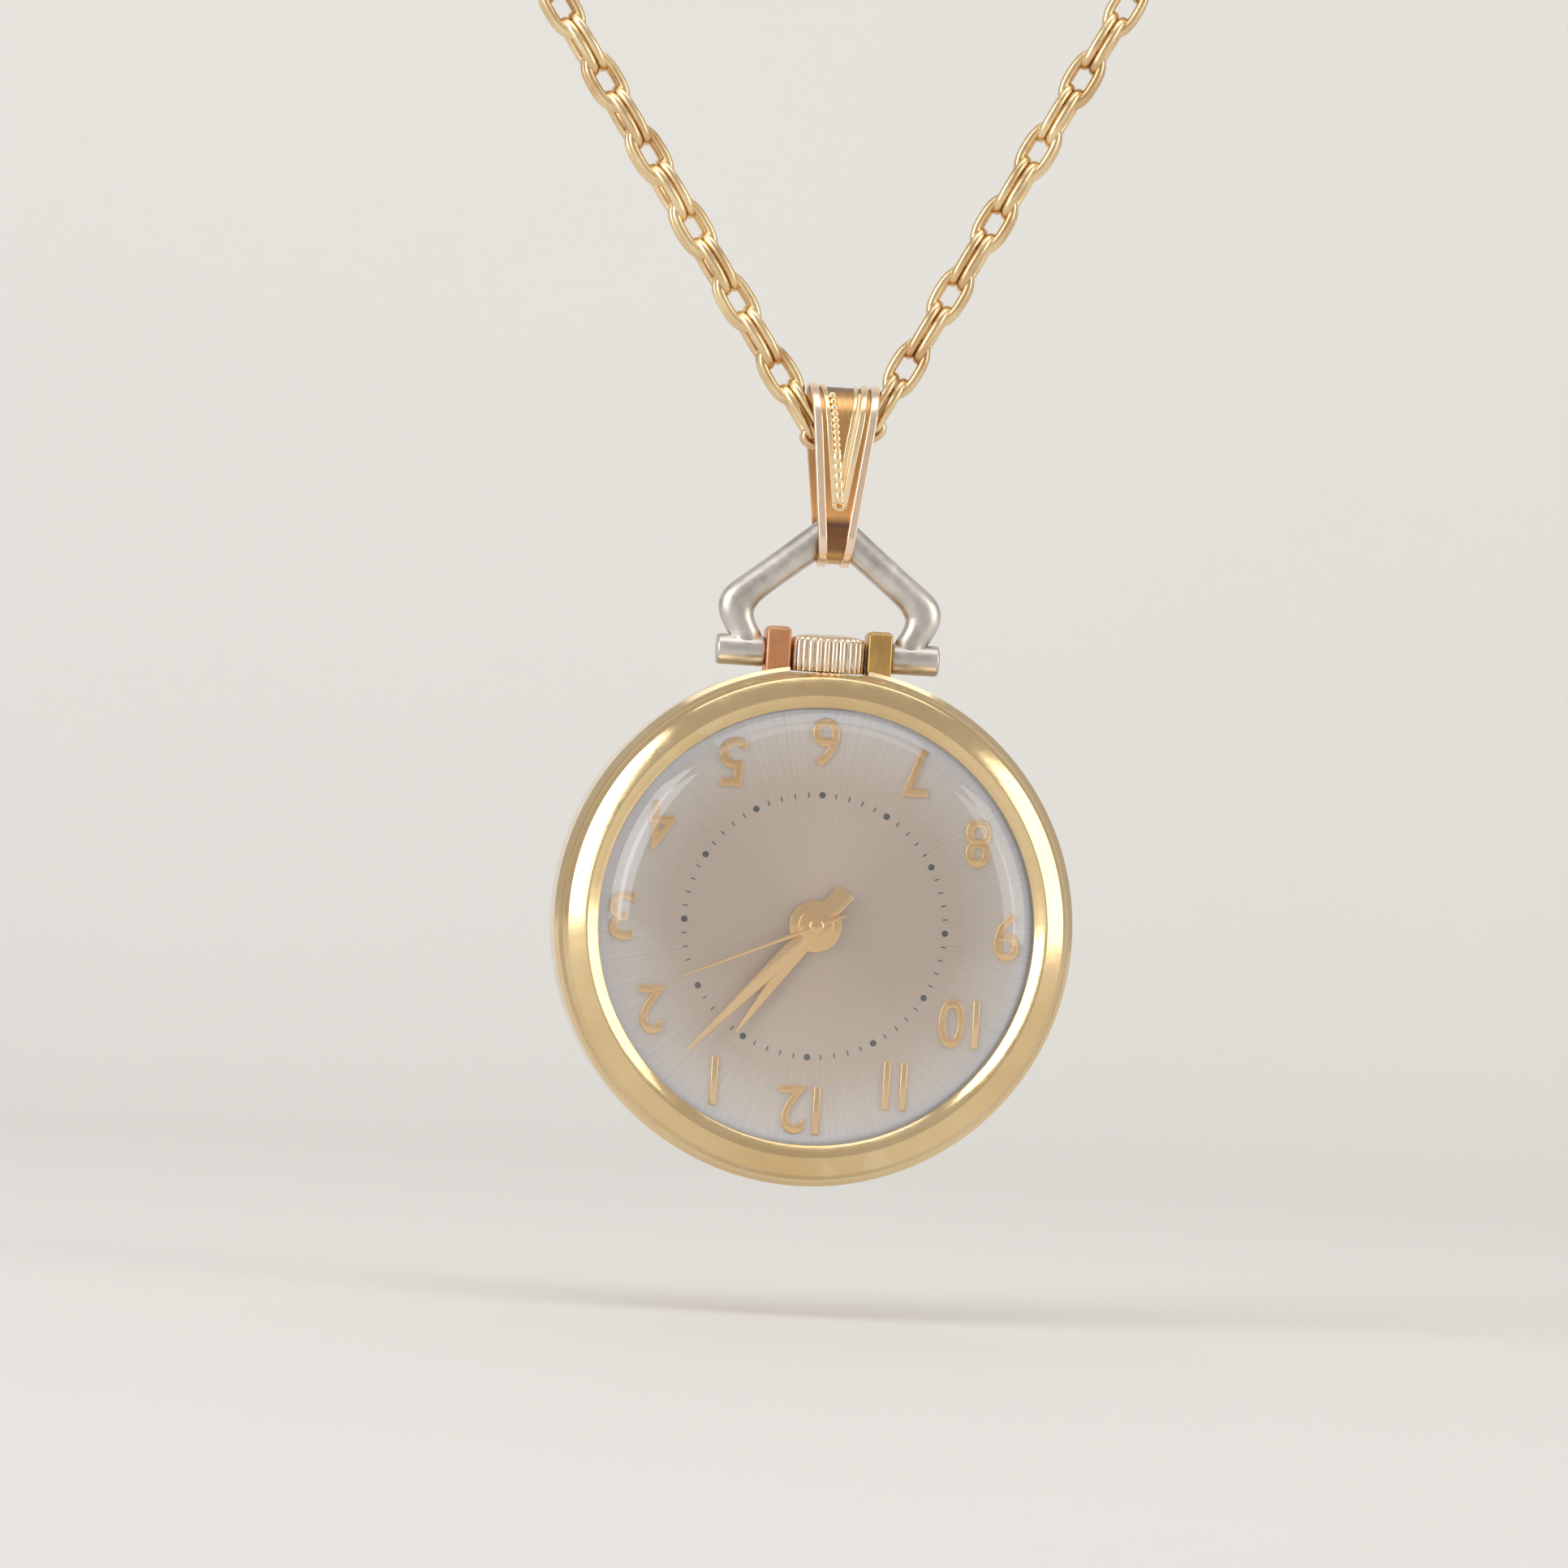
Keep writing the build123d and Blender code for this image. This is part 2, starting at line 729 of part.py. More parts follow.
# Crown wheel and ratchet wheel: on top of the barrel bridge
crown_wheel_boss = barrel_arbor_radius
with BuildPart() as crown_wheel:
    rod(crown_wheel_place, winding_level, winding_level + winding_thickness, crown_wheel_pitch - mesh_gap / 2)
    rod(
        crown_wheel_place,
        winding_level,
        winding_level + winding_thickness,
        crown_wheel_boss + fit_gap,
        Mode.SUBTRACT,
    )
crown_wheel.part.label = "crown_wheel"
export_step(crown_wheel.part, "parts/crown_wheel.step")

with BuildPart() as ratchet_wheel:
    rod(barrel_place, winding_level, winding_level + winding_thickness, ratchet_pitch - mesh_gap / 2)
    rod(barrel_place, winding_level, winding_level + winding_thickness, barrel_arbor_radius, Mode.SUBTRACT)
ratchet_wheel.part.label = "ratchet_wheel"
export_step(ratchet_wheel.part, "parts/ratchet_wheel.step")

with BuildPart() as barrel_arbor:
    rod(barrel_place, arbor_front, winding_level + winding_thickness, barrel_arbor_radius)
barrel_arbor.part.label = "barrel_arbor"
export_step(barrel_arbor.part, "parts/barrel_arbor.step")

# Click: a pawl beside the ratchet wheel, on its own post
click_length = 2.0
click_width = 0.5
click_post = 0.25
click_direction = 205.0
click_place = place_at(ratchet_pitch + click_width + mesh_gap, click_direction, barrel_place)
with BuildPart() as click:
    with BuildSketch(front(winding_level + winding_thickness, click_place, click_direction + 90)):
        SlotCenterPoint((0, 0), (click_length / 2, 0), 2 * click_width)
        Circle(click_post + fit_gap, mode=Mode.SUBTRACT)
    extrude(amount=winding_thickness)
click.part.label = "click"
export_step(click.part, "parts/click.step")

# Mainspring barrel
barrel_radius = pitch_radius(barrel_distance, barrel_teeth, centre_pinion_teeth)
barrel_front = arbor_front
with BuildPart() as mainspring_barrel:
    rod(barrel_place, barrel_front, barrel_front + barrel_height, barrel_radius)
    rod(
        barrel_place,
        barrel_front,
        barrel_front + barrel_height,
        barrel_arbor_radius + fit_gap,
        Mode.SUBTRACT,
    )
mainspring_barrel.part.label = "mainspring_barrel"
export_step(mainspring_barrel.part, "parts/mainspring_barrel.step")

# Main plate: fills the case's bore, with the recess for the motion work and a pocket for the winding work
cannon_wheel_radius = pitch_radius(motion_distance, cannon_teeth, minute_wheel_teeth)
minute_wheel_radius = pitch_radius(motion_distance, minute_wheel_teeth, cannon_teeth)
minute_pinion_radius = pitch_radius(motion_distance, minute_pinion_teeth, hour_wheel_teeth)
hour_wheel_radius = pitch_radius(motion_distance, hour_wheel_teeth, minute_pinion_teeth)
recess_margin = 0.2
with BuildPart() as main_plate:
    rod(centre_place, plate_front, plate_rear, movement_radius)
    rod(centre_place, plate_front, recess_floor, hour_wheel_radius + recess_margin, Mode.SUBTRACT)
    rod(minute_wheel_place, plate_front, recess_floor, minute_wheel_radius + recess_margin, Mode.SUBTRACT)
    rod(centre_place, plate_front, plate_rear, centre_arbor_radius + fit_gap, Mode.SUBTRACT)
    with Locations(front(plate_rear, (0, clutch_inner - recess_margin))):
        Box(
            2 * (pinion_radius + recess_margin),
            pinion_inner + pinion_length - clutch_inner + 2 * recess_margin,
            plate_rear - pocket_floor,
            align=(Align.CENTER, Align.MIN, Align.MIN),
            mode=Mode.SUBTRACT,
        )
main_plate.part.label = "main_plate"
export_step(main_plate.part, "parts/main_plate.step")

# Barrel bridge: covers the barrel and carries the winding wheels
barrel_foot = 1.4
barrel_foot_shares = [(-0.353, 0.749), (-0.749, -0.325)]
barrel_foot_places = [movement_place(shares) for shares in barrel_foot_shares]
bridge_corner_right, bridge_step_low = movement_place((0.127, 0.07))
bridge_step_left, bridge_corner_low = movement_place((-0.424, -0.438))
fourth_radius = pitch_radius(train_distance, fourth_teeth, escape_pinion_teeth)
click_post_top = winding_level + winding_thickness
with BuildPart() as barrel_bridge:
    with BuildSketch(front(barrel_bridge_level + barrel_bridge_thickness)):
        Circle(barrel_bridge_radius)
        with BuildLine():
            Polyline(
                (-case_radius, bridge_corner_low),
                (bridge_step_left, bridge_corner_low),
                (bridge_corner_right, bridge_step_low),
                (bridge_corner_right, case_radius),
                (-case_radius, case_radius),
                close=True,
            )
        make_face(mode=Mode.INTERSECT)
        Circle(fourth_radius + recess_margin, mode=Mode.SUBTRACT)
    extrude(amount=barrel_bridge_thickness)
    for foot_place in barrel_foot_places:
        rod(foot_place, plate_rear, barrel_bridge_level, barrel_foot)
    rod(barrel_place, barrel_bridge_level, bridge_level, barrel_arbor_radius + fit_gap, Mode.SUBTRACT)
    rod(crown_wheel_place, barrel_bridge_level, click_post_top, crown_wheel_boss)
    rod(click_place, barrel_bridge_level, click_post_top, click_post)
    with Locations(front(barrel_bridge_level + barrel_bridge_thickness, (0, clutch_inner - recess_margin))):
        Box(
            2 * (pinion_radius + recess_margin),
            pinion_inner + pinion_length - clutch_inner + 2 * recess_margin,
            barrel_bridge_thickness,
            align=(Align.CENTER, Align.MIN, Align.MIN),
            mode=Mode.SUBTRACT,
        )
barrel_bridge.part.label = "barrel_bridge"
export_step(barrel_bridge.part, "parts/barrel_bridge.step")

# Train bridge: over the centre, third and escape wheels, on two feet
train_eye = 1.2
train_foot = 1.3
train_foot_shares = [(0.6, 0.07), (-0.325, -0.608)]
train_foot_places = [movement_place(shares) for shares in train_foot_shares]
with BuildPart() as train_bridge:
    with BuildSketch(front(bridge_rear)):
        with Locations(centre_place, third_place, escape_place):
            Circle(train_eye)
        with Locations(*train_foot_places):
            Circle(train_foot)
        make_hull()
    extrude(amount=bridge_thickness)
    for foot_place in train_foot_places:
        rod(foot_place, plate_rear, bridge_level, train_foot)
train_bridge.part.label = "train_bridge"
export_step(train_bridge.part, "parts/train_bridge.step")

# Balance cock: one foot, one arm and the hairspring's stud
cock_eye = 1.1
cock_foot = 1.4
cock_foot_place = movement_place((0.495, -0.587))
stud_radius = 0.15
hairspring_outer = hairspring_inner + hairspring_turns * hairspring_pitch
stud_place = (balance_place[0] + hairspring_outer, balance_place[1])
with BuildPart() as balance_cock:
    with BuildSketch(front(bridge_rear)):
        with Locations(balance_place):
            Circle(cock_eye)
        with Locations(cock_foot_place):
            Circle(cock_foot)
        make_hull()
    extrude(amount=bridge_thickness)
    rod(cock_foot_place, plate_rear, bridge_level, cock_foot)
    rod(stud_place, hairspring_level + wheel_thickness, bridge_level, stud_radius)
balance_cock.part.label = "balance_cock"
export_step(balance_cock.part, "parts/balance_cock.step")

# Centre wheel: on a hollow arbor that the second hand's arbor runs through
centre_rear = centre_level + wheel_thickness
centre_radius = pitch_radius(train_distance, centre_teeth, third_pinion_teeth)
centre_pinion_radius = pitch_radius(barrel_distance, centre_pinion_teeth, barrel_teeth)
with BuildPart() as centre_wheel:
    rod(centre_place, centre_level, centre_rear, centre_radius)
    pinion(centre_place, arbor_front, centre_level, centre_pinion_radius, centre_pinion_teeth)
    rod(centre_place, minute_hand_depth, arbor_front, centre_arbor_radius)
    rod(centre_place, minute_hand_depth, centre_rear, centre_arbor_bore, Mode.SUBTRACT)
centre_wheel.part.label = "centre_wheel"
export_step(centre_wheel.part, "parts/centre_wheel.step")

# Third wheel
third_radius = pitch_radius(train_distance, third_teeth, fourth_pinion_teeth)
third_pinion_radius = pitch_radius(train_distance, third_pinion_teeth, centre_teeth)
with BuildPart() as third_wheel:
    rod(third_place, third_level, third_level + wheel_thickness, third_radius)
    pinion(third_place, centre_level, third_level, third_pinion_radius, third_pinion_teeth)
    rod(third_place, arbor_front, arbor_rear, arbor_radius)
third_wheel.part.label = "third_wheel"
export_step(third_wheel.part, "parts/third_wheel.step")

# Fourth wheel: its arbor reaches through the hands to the second hand
fourth_pinion_radius = pitch_radius(train_distance, fourth_pinion_teeth, third_teeth)
with BuildPart() as fourth_wheel:
    rod(centre_place, fourth_level, fourth_level + wheel_thickness, fourth_radius)
    pinion(centre_place, third_level, fourth_level, fourth_pinion_radius, fourth_pinion_teeth)
    rod(centre_place, second_hand_depth - hand_thickness, arbor_rear, arbor_radius)
fourth_wheel.part.label = "fourth_wheel"
export_step(fourth_wheel.part, "parts/fourth_wheel.step")

# Escape wheel: pointed teeth
escape_pinion_radius = pitch_radius(train_distance, escape_pinion_teeth, fourth_teeth)
escape_points = []
for step in range(escape_teeth):
    tooth_angle = step * 360 / escape_teeth
    escape_points.append(place_at(escape_radius, tooth_angle))
    escape_points.append(place_at(escape_root, tooth_angle + 90 / escape_teeth))
with BuildPart() as escape_wheel:
    extrude(
        outline(front(escape_level + wheel_thickness, escape_place), escape_points),
        amount=wheel_thickness,
    )
    escape_pinion_rear = fourth_level + wheel_thickness
    pinion(escape_place, third_level, escape_pinion_rear, escape_pinion_radius, escape_pinion_teeth)
    rod(escape_place, arbor_front, arbor_rear, arbor_radius)
escape_wheel.part.label = "escape_wheel"
export_step(escape_wheel.part, "parts/escape_wheel.step")

# Pallet fork: an anchor outside the escape wheel's teeth and a lever to the roller
fork_arm_share = 0.79
fork_pallet_share = 0.56
fork_lever_gap = 0.15
fork_arm_width = 0.35
fork_lever_width = 0.3
fork_arm = escape_radius * fork_arm_share
fork_pallet_height = escape_radius * fork_pallet_share
fork_lever = balance_distance - roller_radius - fork_lever_gap
with BuildPart() as pallet_fork:
    with BuildSketch(front(escape_level + wheel_thickness, fork_place, fork_direction - 90)):
        Rectangle(2 * fork_arm, fork_arm_width)
        Rectangle(fork_lever_width, fork_lever, align=(Align.CENTER, Align.MIN))
        with Locations((-fork_arm, 0), (fork_arm, 0)):
            Rectangle(fork_arm_width, fork_pallet_height, align=(Align.CENTER, Align.MAX))
    extrude(amount=wheel_thickness)
    rod(fork_place, arbor_front, balance_level - end_gap, arbor_radius)
pallet_fork.part.label = "pallet_fork"
export_step(pallet_fork.part, "parts/pallet_fork.step")

# Balance wheel: rim, two spokes, staff and roller
with BuildPart() as balance_wheel:
    with BuildSketch(front(balance_level + balance_thickness, balance_place)):
        Circle(balance_radius)
        Circle(balance_radius - balance_rim, mode=Mode.SUBTRACT)
        Rectangle(2 * balance_radius - balance_rim, balance_spoke)
    extrude(amount=balance_thickness)
    rod(balance_place, escape_level, escape_level + wheel_thickness, roller_radius)
    rod(balance_place, arbor_front, arbor_rear, arbor_radius)
balance_wheel.part.label = "balance_wheel"
export_step(balance_wheel.part, "parts/balance_wheel.step")

# Hairspring: a flat strip coiled free of the staff, from inside out to its stud
hairspring_steps = 8
hairspring_outside = []
hairspring_inside = []
for step in range(hairspring_turns * hairspring_steps + 1):
    coil_radius = hairspring_inner + hairspring_pitch * step / hairspring_steps
    coil_angle = step * 360 / hairspring_steps
    hairspring_outside.append(place_at(coil_radius + hairspring_strip / 2, coil_angle))
    hairspring_inside.append(place_at(coil_radius - hairspring_strip / 2, coil_angle))
with BuildPart() as hairspring:
    extrude(
        outline(
            front(hairspring_level + wheel_thickness, balance_place),
            hairspring_outside + hairspring_inside[::-1],
        ),
        amount=wheel_thickness,
    )
hairspring.part.label = "hairspring"
export_step(hairspring.part, "parts/hairspring.step")

# Cannon pinion: on the centre arbor, carries the minute hand
cannon_wheel_front = recess_floor - 2 * wheel_thickness
with BuildPart() as cannon_pinion:
    pinion(centre_place, cannon_wheel_front, recess_floor - end_gap, cannon_wheel_radius, cannon_teeth)
    rod(centre_place, minute_hand_depth - hand_thickness, cannon_wheel_front, cannon_radius)
    rod(centre_place, minute_hand_depth - hand_thickness, recess_floor, cannon_bore, Mode.SUBTRACT)
cannon_pinion.part.label = "cannon_pinion"
export_step(cannon_pinion.part, "parts/cannon_pinion.step")

# Minute wheel, with the pinion that drives the hour wheel
hour_wheel_rear = cannon_wheel_front - end_gap
with BuildPart() as minute_wheel:
    rod(minute_wheel_place, cannon_wheel_front, recess_floor - end_gap, minute_wheel_radius)
    pinion(
        minute_wheel_place,
        hour_wheel_rear - wheel_thickness,
        cannon_wheel_front,
        minute_pinion_radius,
        minute_pinion_teeth,
    )
minute_wheel.part.label = "minute_wheel"
export_step(minute_wheel.part, "parts/minute_wheel.step")

# Hour wheel: its pipe runs through the dial and carries the hour hand
with BuildPart() as hour_wheel:
    rod(centre_place, hour_wheel_rear - wheel_thickness, hour_wheel_rear, hour_wheel_radius)
    rod(centre_place, hour_hand_depth - hand_thickness, hour_wheel_rear, hour_pipe_radius)
    rod(
        centre_place,
        hour_hand_depth - hand_thickness,
        hour_wheel_rear,
        cannon_radius + turning_gap,
        Mode.SUBTRACT,
    )
hour_wheel.part.label = "hour_wheel"
export_step(hour_wheel.part, "parts/hour_wheel.step")

# Bow pins: fixed in the tabs, the bow's feet turn on them
with BuildPart() as bow_pins:
    for side_sign in (-1, 1):
        with Locations(across(side_sign * (tab_inner + pin_reach) / 2)):
            with Locations((0, hinge_height)):
                Cylinder(pin_radius, pin_reach - tab_inner)
bow_pins.part.label = "bow_pins"
export_step(bow_pins.part, "parts/bow_pins.step")

# Bow: pointed bar with a barrel at each foot, which turns on its pin outside the tab
with BuildPart() as bow:
    with BuildSketch(front(bow_depth / 2)) as bow_bar:
        with BuildLine():
            Polyline(
                (-bow_ankle_inner[0], hinge_height),
                (-bow_ankle_inner[0], bow_ankle_inner[1]),
                (-bow_corner_inner[0], bow_corner_inner[1]),
                (0, bow_peak_inner),
                bow_corner_inner,
                bow_ankle_inner,
                (bow_ankle_inner[0], hinge_height),
                (bow_ankle_outer[0], hinge_height),
                bow_ankle_outer,
                bow_corner_outer,
                (0, bow_peak_outer),
                (-bow_corner_outer[0], bow_corner_outer[1]),
                (-bow_ankle_outer[0], bow_ankle_outer[1]),
                (-bow_ankle_outer[0], hinge_height),
                close=True,
            )
        make_face()
        fillet(bow_bar.vertices().sort_by(Axis.Y)[-1], bow_peak_outer_round)
        fillet(bow_bar.vertices().filter_by_position(Axis.X, -bow_edge, bow_edge), bow_peak_inner_round)
        shoulder_low = bow_corner_inner[1] - bow_edge
        shoulder_high = bow_corner_outer[1] + bow_edge
        fillet(bow_bar.vertices().filter_by_position(Axis.Y, shoulder_low, shoulder_high), bow_corner_round)
    extrude(amount=bow_depth)
    chamfer(bow.faces().filter_by(Axis.Y).edges(), bow_edge)
    for side_sign in (-1, 1):
        foot_plane = across(side_sign * (foot_inner + foot_outer) / 2)
        bore_plane = across(side_sign * (foot_inner + pin_reach + fit_gap) / 2)
        with Locations(foot_plane):
            with Locations((0, hinge_height)):
                Cylinder(barrel_foot_radius, foot_outer - foot_inner)
        with Locations(bore_plane):
            with Locations((0, hinge_height)):
                Cylinder(pin_radius + fit_gap, pin_reach + fit_gap - foot_inner, mode=Mode.SUBTRACT)
bow.part.label = "bow"
export_step(bow.part, "parts/bow.step")

# Bail: a tapered strip folded round the chain and the bow, with raised rails and a V on its front
bail_half_top = bail_top_width / 2
bail_half_bottom = bail_bottom_width / 2


def strip_section(growth):
    """Side view of the folded strip's inside, grown outwards."""
    with BuildSketch(across(0)) as section:
        with Locations((0, bail_chain_height)):
            Circle(bail_chain_radius + growth)
        with Locations((0, bail_bow_height)):
            Circle(bail_bow_radius + growth)
        make_hull()
    return section.sketch


def bail_half_width(height):
    """Half the strip's width at a height, by its taper."""
    share = (height - bail_bottom) / (bail_top - bail_bottom)
    return bail_half_bottom + (bail_half_top - bail_half_bottom) * share


vee_top_reach = bail_half_top * vee_top_share
rail_top = bail_top + rail_relief
rail_bottom = bail_bottom - rail_relief
with BuildPart() as relief_layer:
    extrude(strip_section(bail_sheet + rail_relief), amount=bail_half_top, both=True)
    extrude(strip_section(bail_sheet), amount=bail_top_width, both=True, mode=Mode.SUBTRACT)
with BuildPart() as strip:
    extrude(strip_section(bail_sheet), amount=bail_half_top, both=True)
    extrude(strip_section(0), amount=bail_top_width, both=True, mode=Mode.SUBTRACT)
with BuildPart() as bail:
    with BuildSketch(front(0)):
        for side_sign in (-1, 1):
            with BuildLine():
                Polyline(
                    (side_sign * bail_half_width(rail_bottom), rail_bottom),
                    (side_sign * bail_half_width(rail_top), rail_top),
                    (side_sign * (bail_half_width(rail_top) - rail_width), rail_top),
                    (side_sign * (bail_half_width(rail_bottom) - rail_width), rail_bottom),
                    close=True,
                )
            make_face()
            with BuildLine():
                Polyline(
                    (0, vee_bottom),
                    (side_sign * vee_top_reach, rail_top),
                    (side_sign * (vee_top_reach - vee_stroke), rail_top),
                    (0, vee_bottom + vee_stroke * (rail_top - vee_bottom) / vee_top_reach),
                    close=True,
                )
            make_face()
    extrude(amount=bail_top_width)
    add(relief_layer.part, mode=Mode.INTERSECT)
    add(strip.part)
    extrude(
        outline(
            front(bail_top_width),
            [
                (-bail_half_width(rail_bottom), rail_bottom),
                (bail_half_width(rail_bottom), rail_bottom),
                (bail_half_width(rail_top), rail_top),
                (-bail_half_width(rail_top), rail_top),
            ],
        ),
        amount=2 * bail_top_width,
        mode=Mode.INTERSECT,
    )
bail.part.label = "bail"
export_step(bail.part, "parts/bail.step")

# Chain links: six-sided wire along an oval of straight runs
oval_turns = (-90, -30, 30, 90)
oval_radius = link_width / 2 - wire_half


def oval_points(length):
    """Middle line of a link's wire, from the middle of one long side."""
    straight = length / 2 - wire_half - oval_radius * cos(radians(oval_turns[-2]))
    points = [(0, -oval_radius)]
    for turn in oval_turns:
        points.append(place_at(oval_radius, turn, (straight, 0)))
    for turn in oval_turns:
        points.append(place_at(oval_radius, turn + 180, (-straight, 0)))
    return points


wire_plane = Plane(origin=(0, -oval_radius, 0), x_dir=(0, 0, 1), z_dir=(1, 0, 0))
with BuildPart() as chain_link:
    with BuildLine():
        Polyline(*oval_points(link_length), close=True)
    with BuildSketch(wire_plane):
        RegularPolygon(wire / 2, wire_sides)
    sweep(transition=Transition.RIGHT)
with BuildPart() as saddle_link:
    with BuildLine():
        Polyline(*oval_points(saddle_length), close=True)
    with BuildSketch(wire_plane):
        RegularPolygon(wire / 2, wire_sides)
    sweep(transition=Transition.RIGHT)


def unit_places(middle, way, twist):
    """Places of the two parallel links of a unit, their flats turned by the twist from the front."""
    along = Vector(way[0], 0, way[1])
    flat = Vector(0, -1, 0).rotate(Axis((0, 0, 0), along), twist)
    offset_each = (wire + pair_gap) / 2
    middle_point = Vector(dial_x + middle[0], 0, dial_z + middle[1])
    return [
        Plane(origin=middle_point + flat * side * offset_each, x_dir=along, z_dir=flat).location
        for side in (-1, 1)
    ]


def strand_places(first, way, swing):
    """Places of every link of a strand, each unit a quarter turn from the last.
    The strand also turns a little on its way, most in its middle."""
    places = []
    for unit in range(1, strand_units + 1):
        middle = beyond(first, way, (unit - 1) * link_pitch)
        turn = swing * sin(pi * unit / (strand_units + 1))
        places += unit_places(middle, way, unit * 90 + turn)
    return places


with BuildPart() as saddle_links:
    with Locations(*unit_places(saddle_place, saddle_way, 0)):
        add(saddle_link.part)
saddle_links.part.label = "saddle_links"
export_step(saddle_links.part, "parts/saddle_links.step")

with BuildPart() as left_strand:
    with Locations(*strand_places(left_first, left_way, left_swing)):
        add(chain_link.part)
left_strand.part.label = "left_strand"
export_step(left_strand.part, "parts/left_strand.step")

with BuildPart() as right_strand:
    with Locations(*strand_places(right_first, right_way, right_swing)):
        add(chain_link.part)
right_strand.part.label = "right_strand"
export_step(right_strand.part, "parts/right_strand.step")


def tag_outline(last, way):
    """Flat tag through a strand's last unit, with the round hole that a clasp closes on."""
    link_hole = beyond(last, way, tag_link_reach)
    clasp_hole = beyond(last, way, tag_hole_reach)
    with BuildSketch(front(tag_thickness / 2)) as tag:
        with Locations(link_hole):
            Circle(tag_link_end)
        with Locations(clasp_hole):
            Circle(tag_hole_end)
        make_hull()
        with Locations(link_hole):
            Circle(tag_link_radius, mode=Mode.SUBTRACT)
        with Locations(clasp_hole):
            Circle(tag_hole_radius, mode=Mode.SUBTRACT)
    return tag.sketch


with BuildPart() as left_tag:
    extrude(tag_outline(left_last, left_way), amount=tag_thickness)
left_tag.part.label = "left_tag"
export_step(left_tag.part, "parts/left_tag.step")

with BuildPart() as right_tag:
    extrude(tag_outline(right_last, right_way), amount=tag_thickness)
right_tag.part.label = "right_tag"
export_step(right_tag.part, "parts/right_tag.step")
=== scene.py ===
import json
from math import asin, atan2, cos, pi, radians, sin, sqrt

import bpy
from mathutils import Matrix, Vector


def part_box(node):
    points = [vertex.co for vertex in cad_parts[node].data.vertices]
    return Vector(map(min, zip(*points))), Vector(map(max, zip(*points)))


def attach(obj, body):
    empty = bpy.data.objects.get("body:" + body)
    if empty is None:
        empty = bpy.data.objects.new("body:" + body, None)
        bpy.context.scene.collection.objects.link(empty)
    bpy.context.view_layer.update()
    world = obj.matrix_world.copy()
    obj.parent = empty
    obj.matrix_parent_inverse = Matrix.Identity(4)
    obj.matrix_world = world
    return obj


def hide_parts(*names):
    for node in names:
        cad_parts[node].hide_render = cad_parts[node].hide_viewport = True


bl_info = {
    "name": "Pendant Watch",
    "version": (1, 0, 0),
    "blender": (4, 5, 0),
    "location": "3D View > Sidebar > Pendant Watch",
    "description": "Dresses a pendant watch on its chain, piece by piece",
    "category": "Object",
}

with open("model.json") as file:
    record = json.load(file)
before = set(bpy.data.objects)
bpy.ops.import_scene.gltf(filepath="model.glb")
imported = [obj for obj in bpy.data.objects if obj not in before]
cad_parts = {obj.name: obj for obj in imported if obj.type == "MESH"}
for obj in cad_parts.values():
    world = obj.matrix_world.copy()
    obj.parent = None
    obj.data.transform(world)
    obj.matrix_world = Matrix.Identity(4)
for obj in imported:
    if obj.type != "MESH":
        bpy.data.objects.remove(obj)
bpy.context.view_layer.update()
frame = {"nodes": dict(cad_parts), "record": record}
MM = 0.001
WELD = 0.003 * MM  # vertices that lie closer than this are made one
FINE_WELD = 0.002 * MM  # the same in the numerals
SLIT = 0.001 * MM  # how near to a cutting plane a vertex counts as on it
TO_FRONT = (radians(90), 0, 0)  # turns a round primitive's axis from up to the watch's own


def node_middle(node):
    """Middle of a packed node."""
    low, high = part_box(node)
    return (low + high) / 2


dial_middle = Vector((node_middle("dial").x, 0, node_middle("dial").z))
dial_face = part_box("dial")[0].y


def spot(across, up, depth=0):
    """A place across and up from the dial's middle, its depth counted from the crown's stem."""
    return dial_middle + Vector((across, depth, up))


def length(name, description, millimetres):
    """A size that the panel shows, given in millimetres."""
    return bpy.props.FloatProperty(
        name=name,
        description=description,
        default=millimetres * MM,
        min=0,
        precision=5,
        unit="LENGTH",
    )


def colour(name, description, default):
    """A colour that the panel shows."""
    return bpy.props.FloatVectorProperty(
        name=name, description=description, default=default, size=3, min=0, max=1, subtype="COLOR"
    )


def angle(name, description, degrees):
    """An angle that the panel shows, given in degrees."""
    return bpy.props.FloatProperty(
        name=name, description=description, default=radians(degrees), subtype="ANGLE"
    )


def count(name, description, default):
    """A number of copies that the panel shows."""
    return bpy.props.IntProperty(name=name, description=description, default=default, min=1)


class CaseSettings(bpy.types.PropertyGroup):
    """Bezel, crystal, lug tabs and crown"""

    gold: colour("Case gold", "Colour of the polished case", (0.84, 0.65, 0.37))
    gold_deep: colour("Case gold, deep", "Colour where the plating is darker", (0.74, 0.54, 0.28))
    bezel_bevel: length("Bezel bevel", "Rounding of the bezel's edges", 0.07)
    dome_rise: length("Crystal rise", "Height of the crystal's middle over its edge", 1.9)
    crystal_wall: length("Crystal wall", "Thickness of the crystal", 0.5)
    copper: colour("Left tab", "Colour of the worn left tab", (0.86, 0.44, 0.24))
    brass: colour("Right tab", "Colour of the worn right tab", (0.74, 0.47, 0.17))
    tab_middle: length("Tab place", "Distance of a tab's middle from the watch's", 3.135)
    tab_width: length("Tab width", "Width of a tab", 1.43)
    tab_depth: length("Tab depth", "Depth of a tab from front to back", 2.6)
    tab_height: length("Tab height", "Height of a tab from inside the case's band", 3.1)
    tab_rise: length("Tab rise", "How far a tab's plate stands over the case's own tab", 0.13)
    tab_round: length("Tab top", "Rounding of a tab's top", 0.28)
    tab_edge: length("Tab edge", "Rounding of a tab's edges", 0.12)
    tab_skin: length("Tab skin", "How far the tab's plate stands off the case's own", 0.035)
    crown: colour("Crown plate", "Colour of the crown", (0.8, 0.66, 0.5))
    crown_radius: length("Crown radius", "Radius over the crown's ribs", 2.35)
    crown_groove: length("Crown groove", "Depth of the grooves between the ribs", 0.2)
    crown_ribs: count("Crown ribs", "Ribs round the crown", 28)


